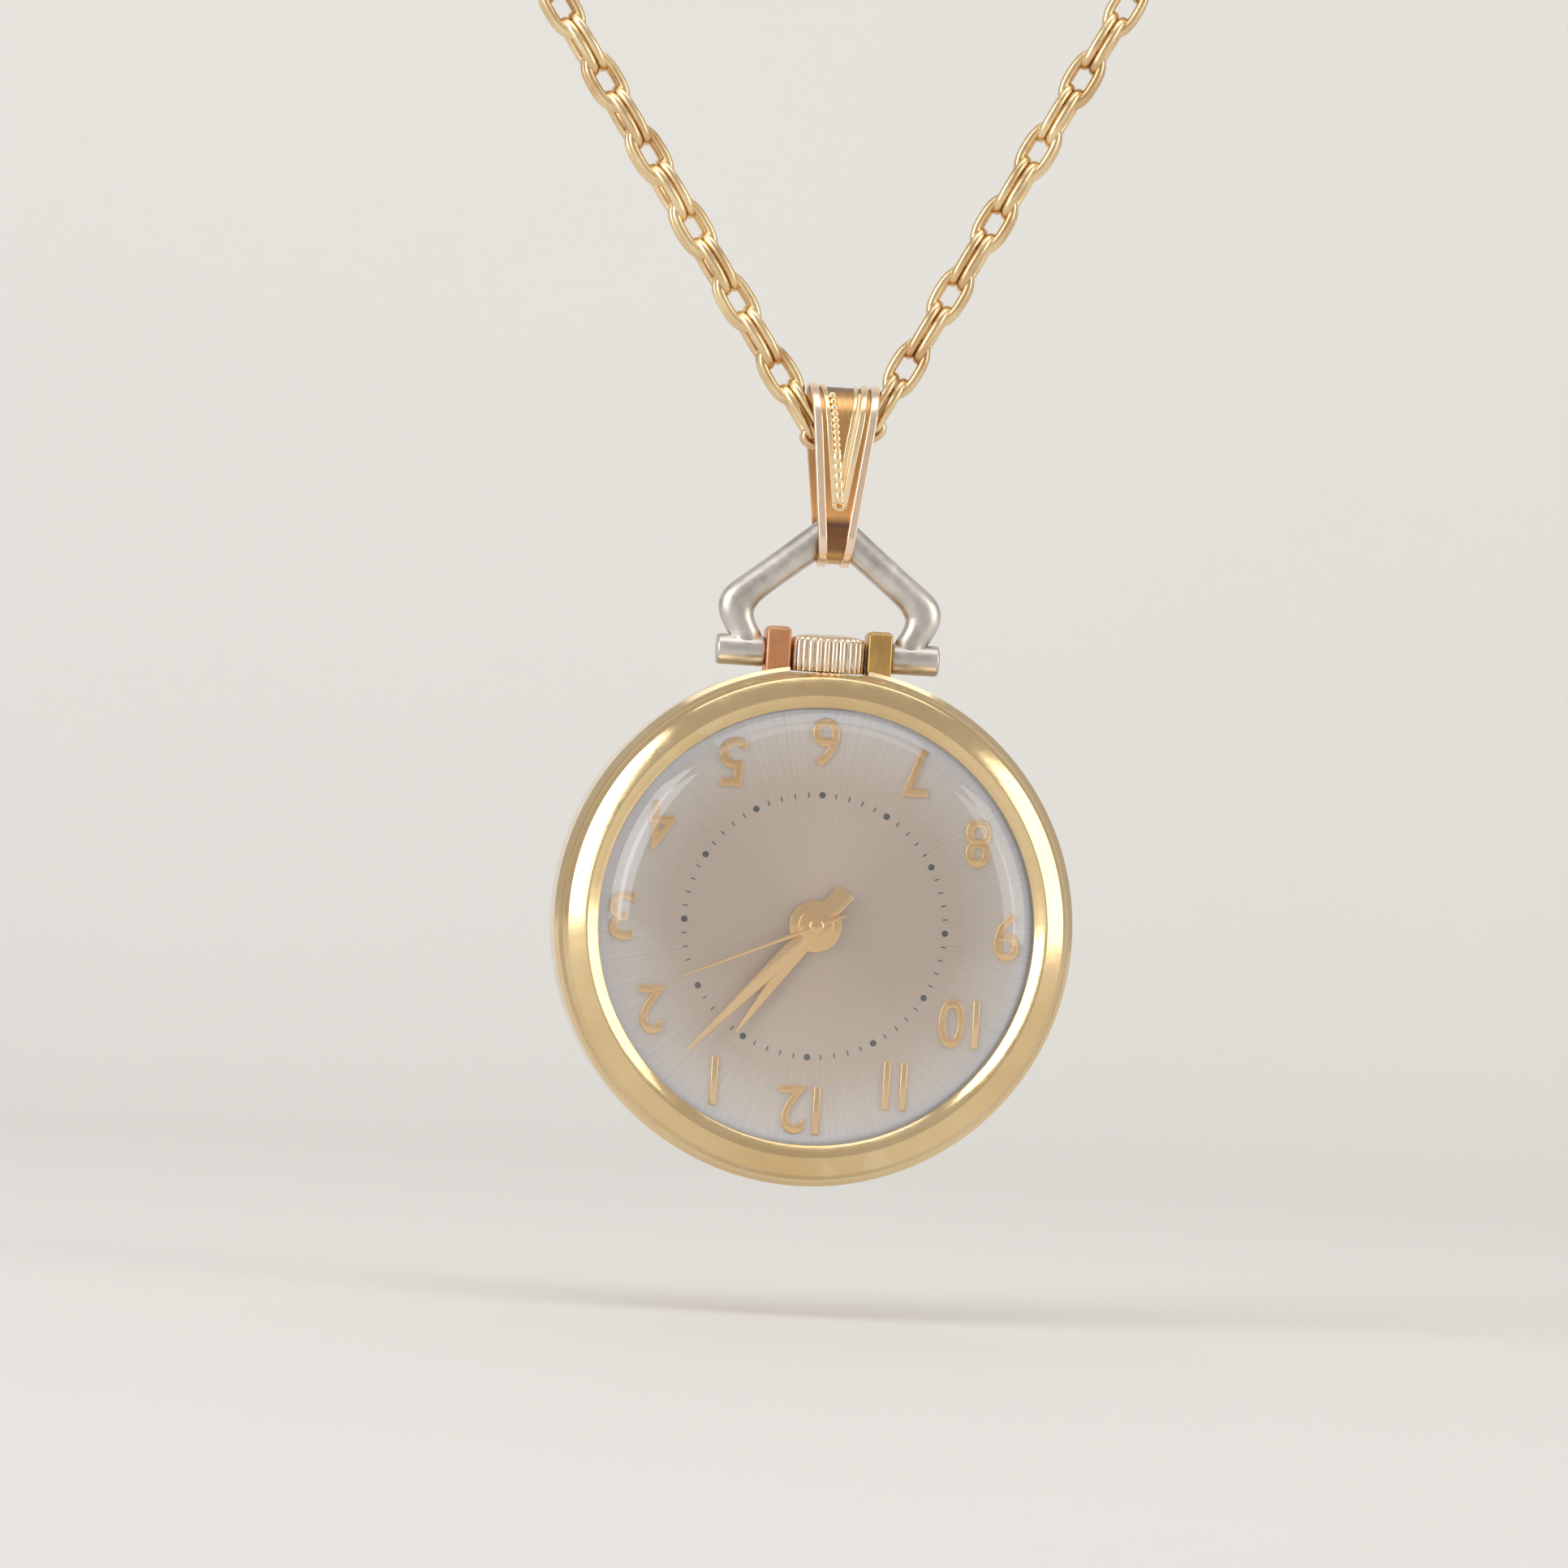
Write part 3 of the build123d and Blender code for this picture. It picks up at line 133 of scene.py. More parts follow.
class DialSettings(bpy.types.PropertyGroup):
    """Dial, its print, its figures and the hands"""

    silver: colour("Dial silver", "Colour of the dial's middle", (0.67, 0.56, 0.465))
    # The dial's rim colour is a painted reflection: the bright, cool ring round the dial's edge
    rim: colour("Dial rim", "Colour of the dial's edge", (0.84, 0.86, 0.94))
    print_grey: colour("Dial print", "Colour of the minute track", (0.03, 0.028, 0.03))
    gilt: colour("Gilt", "Colour of the figures and hands", (0.9, 0.6, 0.27))
    track_radius: length("Track radius", "Radius of the minute track", 8.05)
    dot_radius: length("Dot radius", "Radius of the five-minute dots", 0.2)
    figure_height: length("Figure height", "Height of a numeral", 3.0)
    figure_width: length("Figure width", "Width of a numeral", 1.62)
    stroke: length("Figure stroke", "Width of a numeral's stroke", 0.42)
    relief: length("Figure relief", "Height of the numerals over the dial", 0.2)


class BowSettings(bpy.types.PropertyGroup):
    """Bow and its barrels"""

    nickel: colour("Bow nickel", "Colour of the worn bow", (0.8, 0.76, 0.72))
    nickel_dark: colour("Bow nickel, dark", "Colour where it is tarnished", (0.56, 0.52, 0.47))
    edge: length("Barrel edge", "Rounding of the barrels' ends", 0.2)
    barrel_radius: length("Barrel radius", "Radius of the barrels at the bow's feet", 0.95)
    barrel_length: length("Barrel length", "Length of a barrel", 3.0)
    barrel_middle: length("Barrel place", "Distance of a barrel's middle from the watch's", 5.4)
    hinge_height: length("Hinge height", "Height of the barrels over the dial's middle", 16.7)


class BailSettings(bpy.types.PropertyGroup):
    """Bail, its rails and its beads"""

    rose: colour("Bail panel", "Colour of the bail's satin panel", (0.98, 0.5, 0.2))
    pale: colour("Bail rails", "Colour of the polished rails", (1.0, 0.79, 0.61))
    yellow: colour("Bail beads", "Colour of the beads", (0.98, 0.76, 0.46))
    top_circle: length("Bail top", "Height of the chain loop's middle", 30.45)
    top_radius: length("Bail top radius", "Inner radius of the chain loop", 2.4)
    bottom_circle: length("Bail bottom", "Height of the bow loop's middle", 24.05)
    bottom_radius: length("Bail bottom radius", "Inner radius of the bow loop", 1.4)
    sheet: length("Bail sheet", "Thickness of the bail's strip", 0.35)
    top_width: length("Bail top width", "Width of the bail at its top", 4.36)
    bottom_width: length("Bail bottom width", "Width of the bail at its bottom", 1.94)
    rail_width: length("Rail width", "Width of a rail", 0.54)
    rail_relief: length("Rail relief", "Height of a rail over the strip", 0.2)
    border: length("Border", "Width of the border beside the beads", 0.34)
    bead_radius: length("Bead radius", "Radius of a bead", 0.25)
    bead_count: count("Beads", "Beads in a row", 18)
    vee_low: length("V foot", "Height of the V's foot over the dial's middle", 25.95)
    vee_high: length("V top", "Height of the V's top over the dial's middle", 32.75)
    vee_low_reach: length("V foot reach", "Half the V's outer width at its foot", 0.5)
    vee_high_reach: length("V top reach", "Half the V's outer width at its top", 1.42)


class ChainSettings(bpy.types.PropertyGroup):
    """Links and strands of the chain"""

    gold: colour("Chain gold", "Colour of the links", (0.93, 0.72, 0.41))
    gold_deep: colour("Chain gold, deep", "Colour of the worn links", (0.64, 0.38, 0.16))
    wire: length("Wire", "Thickness of a link's wire", 0.6)
    squareness: bpy.props.FloatProperty(
        name="Roundness", description="How evenly a link's sides bulge, 1 for an oval", default=0.62
    )
    link_length: length("Link length", "Length of a link", 4.2)
    link_width: length("Link width", "Width of a link", 2.2)
    link_pitch: length("Link pitch", "Distance between neighbouring pairs", 2.62)
    pair_gap: length("Pair gap", "Gap between the links of a pair", 0.02)
    saddle_length: length("Saddle length", "Length of the pair in the bail", 5.4)
    left_lean: angle("Left lean", "Lean of the left strand from upright", 34.4)
    right_lean: angle("Right lean", "Lean of the right strand from upright", 28.0)
    saddle_tilt: angle("Saddle tilt", "Tilt of the pair in the bail", 10.7)
    swing: angle("Strand swing", "Turn that a strand gains by its middle", 16.0)
    units: count("Pairs", "Pairs of links in a strand", 13)


class StageSettings(bpy.types.PropertyGroup):
    """Floor and camera"""

    floor: colour("Floor", "Colour of the floor and backdrop", (0.8, 0.79, 0.77))
    frame_width: length("Frame width", "Width of the view at the watch", 96.6)
    camera_distance: length("Camera distance", "Distance from the camera to the watch", 500)
    roll: angle("Camera roll", "Roll of the camera", 3.4)
    yaw: angle("Camera yaw", "How far the camera stands to the left", 5.5)


# Modelling steps


def leave_edit():
    """Go back to object mode."""
    bpy.ops.object.mode_set(mode="OBJECT")


def edit_all():
    """Go into edit mode with everything selected."""
    bpy.ops.object.mode_set(mode="EDIT")
    bpy.ops.mesh.select_all(action="SELECT")


def close_up(weld=0):
    """Merge doubled vertices if asked, turn the faces outward and leave edit mode."""
    bpy.ops.mesh.select_all(action="SELECT")
    if weld:
        bpy.ops.mesh.remove_doubles(threshold=weld)
    bpy.ops.mesh.normals_make_consistent(inside=False)
    leave_edit()


def pull_out(offset):
    """Extrude what is selected."""
    bpy.ops.mesh.extrude_region_move(TRANSFORM_OT_translate={"value": offset})


def clear_selection():
    """Leave edit mode and deselect everything."""
    if bpy.context.object is not None and bpy.context.object.mode != "OBJECT":
        leave_edit()
    bpy.ops.object.select_all(action="DESELECT")


def only(piece):
    """Select one piece alone."""
    clear_selection()
    piece.select_set(True)
    bpy.context.view_layer.objects.active = piece


def discard(model):
    """Delete a piece that was only there to be copied."""
    only(model)
    bpy.ops.object.delete()


def name_piece(name):
    """Name the new primitive and put its place into its mesh."""
    piece = bpy.context.object
    piece.name = piece.data.name = name
    bpy.ops.object.transform_apply()
    return piece


def select_where(piece, test):
    """In edit mode, select the vertices that pass a test, and the edges and faces between them."""
    bpy.ops.mesh.select_all(action="DESELECT")
    leave_edit()
    for vertex in piece.data.vertices:
        vertex.select = test(vertex)
    bpy.ops.object.mode_set(mode="EDIT")
    bpy.ops.mesh.select_mode(type="VERT")


def select_run(piece, first, last):
    """In edit mode, select the vertices whose numbers lie in a run."""
    select_where(piece, lambda vertex: first <= vertex.index < last)


def join(pieces, name):
    """Join pieces into one."""
    clear_selection()
    for piece in pieces:
        piece.select_set(True)
    bpy.context.view_layer.objects.active = pieces[0]
    bpy.ops.object.join()
    pieces[0].name = pieces[0].data.name = name
    return pieces[0]


def copy_to(piece, matrix):
    """A copy of a piece with its own mesh, placed by a matrix."""
    only(piece)
    bpy.ops.object.duplicate()
    copied = bpy.context.object
    copied.matrix_world = matrix
    bpy.ops.object.transform_apply()
    return copied


def soften(piece, width, segments, limit):
    """Round a piece's edges and shade it smooth between sharp ones."""
    only(piece)
    modifier = piece.modifiers.new("Edges", "BEVEL")
    modifier.width = width
    modifier.segments = segments
    modifier.limit_method = "ANGLE"
    modifier.angle_limit = radians(limit)
    bpy.ops.object.modifier_apply(modifier=modifier.name)
    bpy.ops.object.shade_smooth_by_angle(angle=radians(limit))


def hand_over(piece, finish, body, nodes=()):
    """Give a finished piece its finish, body and slot, and let it stand for its nodes."""
    clear_selection()
    piece.data.materials.clear()
    piece.data.materials.append(finishes[finish])
    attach(piece, body)
    if nodes:
        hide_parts(*nodes)


def turn_profile(name, profile, sides, closed=False):
    """A ring or disc round the watch's axis: a circle extruded along pairs of radius and depth."""
    clear_selection()
    radius, depth = profile[0]
    bpy.ops.mesh.primitive_circle_add(
        vertices=sides, radius=radius, location=spot(0, 0, depth), rotation=TO_FRONT
    )
    piece = name_piece(name)
    edit_all()
    for next_radius, next_depth in profile[1:] + (profile[:1] if closed else []):
        pull_out((0, next_depth - depth, 0))
        share = next_radius / radius
        bpy.ops.transform.resize(value=(share, 1, share), center_override=spot(0, 0, next_depth))
        radius, depth = next_radius, next_depth
    close_up(WELD)
    return piece


def draw_outline(name, points):
    """A closed outline through points, extruded from one vertex and left in edit mode."""
    clear_selection()
    bpy.ops.mesh.primitive_plane_add(size=MM, location=points[0])
    piece = name_piece(name)
    edit_all()
    bpy.ops.mesh.merge(type="CENTER")
    for start, end in zip(points, points[1:] + points[:1]):
        pull_out(end - start)
    bpy.ops.mesh.select_all(action="SELECT")
    bpy.ops.mesh.remove_doubles(threshold=WELD)
    return piece


def smooth_line(points, steps):
    """Tuples of numbers along a smooth line through given ones."""
    line = []
    for index in range(len(points) - 1):
        near = [points[max(index - 1, 0)], points[index], points[index + 1]]
        near.append(points[min(index + 2, len(points) - 1)])
        for step in range(steps):
            share = step / steps
            line.append(
                tuple(
                    start
                    + share * (end - before) / 2
                    + share**2 * (before - 2.5 * start + 2 * end - after / 2)
                    + share**3 * (1.5 * start - before / 2 - 1.5 * end + after / 2)
                    for before, start, end, after in zip(*near)
                )
            )
    return line + [points[-1]]


def loft_bar(name, sections, sides):
    """A bar through oval sections, each a place, a turn about Y, a half width and a half depth."""
    clear_selection()
    for place, turn, half_width, half_depth in sections:
        bpy.ops.mesh.primitive_circle_add(
            vertices=sides, radius=half_width, location=place, rotation=(0, turn, 0)
        )
        if bpy.context.mode == "OBJECT":
            piece = name_piece(name)
            edit_all()
        bpy.ops.transform.resize(value=(1, half_depth / half_width, 1), center_override=place)
    for index in range(len(sections) - 1):
        select_run(piece, index * sides, (index + 2) * sides)
        bpy.ops.mesh.bridge_edge_loops()
    for end in (0, len(sections) - 1):
        select_run(piece, end * sides, (end + 1) * sides)
        bpy.ops.mesh.edge_face_add()
    close_up()
    bpy.ops.object.shade_smooth_by_angle(angle=radians(40))
    return piece


# Materials


def link(material, output, socket):
    """Join two sockets."""
    material.node_tree.links.new(output, socket)


def set_values(node, values):
    """Set a node's sockets, whose labels start with a capital, and its other settings."""
    for label, value in values.items():
        if label[0].isupper():
            node.inputs[label].default_value = value
        else:
            setattr(node, label, value)


def new_material(name, **values):
    """A material and its shader with some of its sockets set."""
    material = bpy.data.materials.new(name)
    material.use_nodes = True
    shader = material.node_tree.nodes["Principled BSDF"]
    set_values(shader, values)
    return material, shader


def add_node(material, kind, source=None, **values):
    """A node with some values set, fed at its first socket where a source is given."""
    node = material.node_tree.nodes.new(kind)
    set_values(node, values)
    if source is not None:
        link(material, source, node.inputs[0])
    return node


def pattern_place(material, scale=(1, 1, 1), offset=(0, 0, 0), turn=(0, 0, 0)):
    """Object coordinates, stretched, turned and moved."""
    place = add_node(material, "ShaderNodeTexCoord").outputs["Object"]
    values = {"Location": offset, "Rotation": turn, "Scale": scale}
    return add_node(material, "ShaderNodeMapping", place, **values).outputs["Vector"]


def grain(material, scale, detail=4, roughness=0.55, stretch=(1, 1, 1), place=None):
    """Cloudy grain with a number of patches to the metre, over the piece or a place of its own."""
    if place is None:
        place = pattern_place(material, stretch)
    values = {"Scale": scale, "Detail": detail, "Roughness": roughness}
    return add_node(material, "ShaderNodeTexNoise", place, **values).outputs["Fac"]


def ramp(material, factor, stops):
    """Colours along a factor."""
    node = add_node(material, "ShaderNodeValToRGB", factor)
    elements = node.color_ramp.elements
    while len(elements) < len(stops):
        elements.new(0.5)
    for element, (position, shade) in zip(elements, stops):
        element.position = position
        element.color = (*shade, 1)
    return node.outputs["Color"]


def between(material, factor, low, high, from_low=0.3, from_high=0.7):
    """A number that follows a factor between two limits."""
    limits = {"From Min": from_low, "From Max": from_high, "To Min": low, "To Max": high}
    return add_node(material, "ShaderNodeMapRange", factor, **limits).outputs["Result"]


def mix(material, share, first, second, way="MIX"):
    """Two colours mixed, or one darkened by the other."""
    node = add_node(material, "ShaderNodeMix", data_type="RGBA", blend_type=way)
    # Sockets 0, 6 and 7 are the factor and the two colours, and output 2 is their mix
    for number, value in ((0, share), (6, first), (7, second)):
        socket = node.inputs[number]
        if isinstance(value, bpy.types.NodeSocket):
            link(material, value, socket)
        else:
            socket.default_value = value
    return node.outputs[2]


def surface(material, shader, tint, shine, relief):
    """Give a shader its colour, a roughness that follows a pattern from polished to dull, and the
    relief of a pattern with its strength and depth."""
    if tint is not None:
        link(material, tint, shader.inputs["Base Color"])
    link(material, between(material, *shine), shader.inputs["Roughness"])
    height, strength, depth = relief
    node = add_node(material, "ShaderNodeBump", Strength=strength, Distance=depth)
    link(material, height, node.inputs["Height"])
    link(material, node.outputs["Normal"], shader.inputs["Normal"])
    return material


def worn_metal(name, bright, deep, polish, dull, grain_size, scratches):
    """Plated or solid metal: clouded colour, scuffed shine, fine scratches and paler worn edges."""
    material, shader = new_material(name, Metallic=1)
    clouds = grain(material, 0.35 / grain_size)
    tint = ramp(material, clouds, [(0.3, deep), (0.62, bright)])
    edge = add_node(material, "ShaderNodeNewGeometry").outputs["Pointiness"]
    worn = between(material, edge, 0, 0.25, 0.51, 0.56)
    pale = [min(1, 0.35 + 0.65 * part) for part in bright]
    tint = mix(material, worn, tint, (*pale, 1))
    scuffs = grain(material, 2.4 / grain_size, 6, 0.7)
    lines = grain(material, 3.0 / grain_size, 3, 0.6, (1, 6, 6))
    shine, relief = (scuffs, polish, dull), (lines, scratches, 0.02 * MM)
    return surface(material, shader, tint, shine, relief)


def brushed_metal(name, bright, deep, polish, dull, stretch, line_scale):
    """Metal finished in straight fine lines, with clouded colour."""
    material, shader = new_material(name, Metallic=1)
    lines = grain(material, line_scale, 5, 0.65, stretch)
    tint = ramp(material, grain(material, 280, 3), [(0.3, deep), (0.68, bright)])
    streaks = ramp(material, lines, [(0.32, (0.72, 0.72, 0.72)), (0.66, (1, 1, 1))])
    tint = mix(material, 0.5, tint, streaks, "MULTIPLY")
    return surface(material, shader, tint, (lines, polish, dull), (lines, 0.2, 0.015 * MM))


def striped_nickel(name):
    """Movement plates: satin nickel with broad polished stripes."""
    material, shader = new_material(name, Metallic=1)
    place = pattern_place(material, turn=(0, radians(20), 0))
    stripes = {"Scale": 110, "Distortion": 0.4, "Detail": 2}
    wave = add_node(material, "ShaderNodeTexWave", place, **stripes).outputs["Fac"]
    fine = grain(material, 1800, 3, stretch=(1, 1, 12))
    tint = ramp(material, wave, [(0.0, (0.5, 0.49, 0.45)), (1.0, (0.72, 0.71, 0.67))])
    return surface(material, shader, tint, (fine, 0.24, 0.42), (fine, 0.15, 0.01 * MM))


def tarnished_panel(name, rose):
    """The bail's satin strip: gold, then a brown painted shade where it curves round the bow's
    loop, rose at the V's foot and orange to the dark top."""
    material, shader = new_material(name, Metallic=1)
    place = pattern_place(material, offset=-dial_middle)
    height = add_node(material, "ShaderNodeSeparateXYZ", place).outputs["Z"]
    tint = ramp(
        material,
        between(material, height, 0, 1, 22.3 * MM, 33.2 * MM),
        [
            (0.04, (0.72, 0.47, 0.2)),
            # Painted shade: the dark brown from here to the rose stands in for the shade where the
            # strip curves round the bow's loop
            (0.08, (0.3, 0.15, 0.07)),
            (0.19, (0.28, 0.13, 0.06)),
            (0.22, (0.2, 0.1, 0.07)),
            (0.27, rose),
            (0.5, (0.66, 0.37, 0.15)),
            (0.955, (0.7, 0.41, 0.17)),
            (0.985, (0.26, 0.16, 0.11)),
        ],
    )
    clouds = grain(material, 500, 3)
    shade = ramp(material, clouds, [(0.3, (0.82, 0.82, 0.82)), (0.7, (1, 1, 1))])
    tint = mix(material, 0.8, tint, shade, "MULTIPLY")
    lines = grain(material, 700, 4, 0.6, (12, 1, 1))
    return surface(material, shader, tint, (lines, 0.24, 0.4), (lines, 0.15, 0.01 * MM))


def sunburst_dial(name, silver, rim):
    """Silvered dial: rays from its middle, a warm grey middle and a pale, cool painted reflection
    round its edge.
    """
    material, shader = new_material(name, Metallic=0.7, Anisotropic=0.75)
    tangent = add_node(material, "ShaderNodeTangent", direction_type="RADIAL", axis="Y")
    link(material, tangent.outputs["Tangent"], shader.inputs["Tangent"])
    place = pattern_place(material, offset=-dial_middle)
    parts = add_node(material, "ShaderNodeSeparateXYZ", place)
    bearing = add_node(material, "ShaderNodeMath", parts.outputs["X"], operation="ARCTAN2")
    link(material, parts.outputs["Z"], bearing.inputs[1])
    rays_place = add_node(material, "ShaderNodeCombineXYZ", bearing.outputs["Value"])
    rays = grain(material, 60, 6, 0.75, place=rays_place.outputs["Vector"])
    distance = add_node(material, "ShaderNodeVectorMath", place, operation="LENGTH")
    reach = between(material, distance.outputs["Value"], 0, 1, 0, 13.9 * MM)
    # Warm grey middle, then the rim's pale, cool colour, a painted reflection ring round the dial's
    # edge
    tones_and_rim_reflection = [(0.0, silver), (0.66, silver), (0.9, (0.8, 0.74, 0.69)), (0.97, rim)]
    dial_tone_and_rim_reflection = ramp(material, reach, tones_and_rim_reflection)
    shade = ramp(material, rays, [(0.3, (0.78, 0.77, 0.76)), (0.7, (1, 1, 1))])
    tint = mix(material, 1, dial_tone_and_rim_reflection, shade, "MULTIPLY")
    return surface(material, shader, tint, (rays, 0.34, 0.46), (rays, 0.08, 0.01 * MM))


def clear_crystal(name):
    """Old clear crystal: a thin bright reflection with faint hairlines."""
    values = {"Base Color": (0.86, 0.93, 1.0, 1), "Metallic": 1, "Alpha": 0.06}
    material, shader = new_material(name, **values)
    lines = grain(material, 900, 5, 0.7, (1, 1, 8))
    return surface(material, shader, None, (lines, 0.03, 0.09), (lines, 0.02, 0.01 * MM))


def dial_print(name, grey):
    """Printed ink, a little uneven."""
    material, shader = new_material(name)
    patches = grain(material, 6000, 3)
    faded = [min(1, part + 0.08) for part in grey]
    tint = ramp(material, patches, [(0.35, grey), (0.75, faded)])
    return surface(material, shader, tint, (patches, 0.45, 0.7), (patches, 0.1, 0.005 * MM))


def make_finishes(scene):
    """Every finish of the watch by the name that the pieces ask for."""
    case, dial, bow = scene.watch_case, scene.watch_dial, scene.watch_bow
    bail, chain = scene.watch_bail, scene.watch_chain
    # Bright and deep colour, roughness where polished and dull, grain size, depth of scratches
    worn = {
        "case_gold": ("Polished case gold", case.gold, case.gold_deep, 0.07, 0.2, 3 * MM, 0.12),
        "chain_gold": ("Chain gold", chain.gold, chain.gold_deep, 0.16, 0.34, 0.9 * MM, 0.12),
        "crown_plate": ("Crown plate", case.crown, (0.8, 0.62, 0.48), 0.2, 0.32, 1 * MM, 0.05),
        "numeral_gold": ("Raised gilt", dial.gilt, (0.76, 0.47, 0.19), 0.18, 0.3, 2 * MM, 0.03),
        "hand_gold": ("Hand gilt", dial.gilt, (0.8, 0.5, 0.2), 0.2, 0.26, 3 * MM, 0.01),
        "bail_rail": ("Pale rails", bail.pale, (0.96, 0.71, 0.52), 0.2, 0.28, 2 * MM, 0.03),
        "bail_bead": ("Yellow beads", bail.yellow, (0.94, 0.68, 0.38), 0.18, 0.26, 2 * MM, 0.03),
    }
    # Both colours and roughnesses again, how the lines are stretched, lines to the metre
    even, long = (1, 1, 1), (12, 1, 1)
    gilt, dark_gilt = (0.8, 0.55, 0.2), (0.6, 0.37, 0.12)
    steel, dark_steel = (0.5, 0.5, 0.52), (0.36, 0.36, 0.38)
    brushed = {
        "bow_nickel": ("Worn bow nickel", bow.nickel, bow.nickel_dark, 0.26, 0.44, even, 1500),
        "tab_copper": ("Coppery tab", case.copper, (0.72, 0.33, 0.16), 0.3, 0.46, long, 700),
        "tab_brass": ("Brassy tab", case.brass, (0.56, 0.34, 0.11), 0.26, 0.42, long, 700),
        "wheel_brass": ("Gilt brass", gilt, dark_gilt, 0.2, 0.34, (1, 1, 10), 1500),
        "work_steel": ("Polished steel", steel, dark_steel, 0.12, 0.26, (1, 1, 8), 1800),
    }
    made = {finish: worn_metal(*values) for finish, values in worn.items()}
    made.update({finish: brushed_metal(*values) for finish, values in brushed.items()})
    made["crystal_glass"] = clear_crystal("Clear crystal")
    made["dial_silver"] = sunburst_dial("Silvered dial", dial.silver, dial.rim)
    made["dial_print"] = dial_print("Dial print", dial.print_grey)
    made["plate_nickel"] = striped_nickel("Striped nickel")
    made["bail_panel"] = tarnished_panel("Rose panel", bail.rose)
    return made


finishes = {}


class WATCH_OT_finishes(bpy.types.Operator):
    """Make the finishes and give the kept pieces theirs"""

    bl_idname = "watch.finishes"
    bl_label = "Finishes"

    def execute(self, context):
        finishes.update(make_finishes(context.scene))
        slots = {entry["node"]: entry["material_slot"] for entry in frame["record"]["subparts"]}
        for node, piece in frame["nodes"].items():
            for holder in piece.material_slots:
                holder.material = finishes[slots[node]]
        return {"FINISHED"}


# Round the bezel's section: radius and distance in front of its rear edge, in millimetres
BEZEL_SECTION = (
    (13.95, 0),
    (15.55, 0),
    (15.55, 0.9),
    (15.25, 1.35),
    (14.15, 1.9),
    (13.4, 1.5),
    (13.4, 1.2),
    (13.95, 1.2),
)


class WATCH_OT_bezel(bpy.types.Operator):
    """Turn the polished bezel with its facet, its slope and its lip"""

    bl_idname = "watch.bezel"
    bl_label = "Bezel"

    def execute(self, context):
        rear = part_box("bezel")[1].y
        profile = [(radius * MM, rear - front * MM) for radius, front in BEZEL_SECTION]
        piece = turn_profile("bezel_ring", profile, sides=180, closed=True)
        soften(piece, context.scene.watch_case.bezel_bevel, segments=3, limit=12)
        hand_over(piece, "case_gold", "case", ["bezel"])
        return {"FINISHED"}


class WATCH_OT_tabs(bpy.types.Operator):
    """Clad the two lug tabs, the left one in coppery worn plate"""

    bl_idname = "watch.tabs"
    bl_label = "Lug tabs"

    def execute(self, context):
        case = context.scene.watch_case
        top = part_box("case_middle")[1].z - dial_middle.z
        middle = top + case.tab_rise - case.tab_height / 2
        width, depth = case.tab_width + 2 * case.tab_skin, case.tab_depth + 2 * case.tab_skin
        for side, name, finish in ((-1, "tab_left", "tab_copper"), (1, "tab_right", "tab_brass")):
            clear_selection()
            bpy.ops.mesh.primitive_cube_add(
                size=1,
                location=spot(side * case.tab_middle, middle),
                scale=(width, depth, case.tab_height),
            )
            tab = name_piece(name)
            edit_all()
            select_where(tab, lambda vertex: vertex.co.z > dial_middle.z + top)
            bpy.ops.mesh.bevel(offset=case.tab_round, segments=6, affect="EDGES")
            leave_edit()
            soften(tab, case.tab_edge, segments=4, limit=30)
            hand_over(tab, finish, "case")
        return {"FINISHED"}


class WATCH_OT_crystal(bpy.types.Operator):
    """Turn the domed crystal"""

    bl_idname = "watch.crystal"
    bl_label = "Crystal"

    def execute(self, context):
        case = context.scene.watch_case
        wall = case.crystal_wall
        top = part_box("crystal")[0].y
        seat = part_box("bezel")[1].y - 1.15 * MM
        foot, skirt_inner, skirt_outer = 13.35 * MM, 13.3 * MM, 13.9 * MM
        tip = 0.001 * MM
        flatness = 6  # the dome is nearly flat and falls off at its rim
        steps = 24
        outer, inner = [], []
        for step in range(1, steps):
            share = cos(pi / 2 * step / steps)
            drop = case.dome_rise * (1 - sqrt(1 - share**flatness))
            outer.append((foot * share, top + drop))
            inner.append(((foot - wall) * share, top + wall + drop))
        outer.append((tip, top))
        inner.append((tip, top + wall))
        rim = (skirt_inner, dial_face)
        skirt = [rim, (skirt_outer, dial_face), (skirt_outer, seat), (foot, seat)]
        outside = turn_profile("crystal_dome", skirt + outer, sides=120)
        inside = turn_profile("crystal_inside", [rim] + inner, sides=120)
        piece = join([outside, inside], "crystal_dome")
        edit_all()
        close_up(WELD)
        bpy.ops.object.shade_smooth_by_angle(angle=radians(30))
        hand_over(piece, "crystal_glass", "case", ["crystal"])
        return {"FINISHED"}


def dial_place(radius, clockwise):
    """A place on the dial by radius and by angle from 12, which hangs down."""
    return (-radius * sin(clockwise), -radius * cos(clockwise))


class WATCH_OT_track(bpy.types.Operator):
    """Print the minute track: a dot at each hour and fine ticks between"""

    bl_idname = "watch.track"
    bl_label = "Minute track"

    def execute(self, context):
        dial = context.scene.watch_dial
        ink, tick_width, tick_length = 0.02 * MM, 0.07 * MM, 0.3 * MM
        clear_selection()
        bpy.ops.mesh.primitive_cylinder_add(
            vertices=16, radius=dial.dot_radius, depth=ink, rotation=TO_FRONT
        )
        dot = name_piece("track_dot")
        clear_selection()
        bpy.ops.mesh.primitive_cube_add(size=1, scale=(tick_width, ink, tick_length))
        tick = name_piece("track_tick")
        prints = []
        for minute in range(60):
            turn = minute * pi / 30
            place = spot(*dial_place(dial.track_radius, turn), dial_face - ink / 2)
            model = dot if minute % 5 == 0 else tick
            prints.append(copy_to(model, Matrix.Translation(place) @ Matrix.Rotation(turn, 4, "Y")))
        discard(dot)
        discard(tick)
        hand_over(join(prints, "minute_track"), "dial_print", "case")
        return {"FINISHED"}


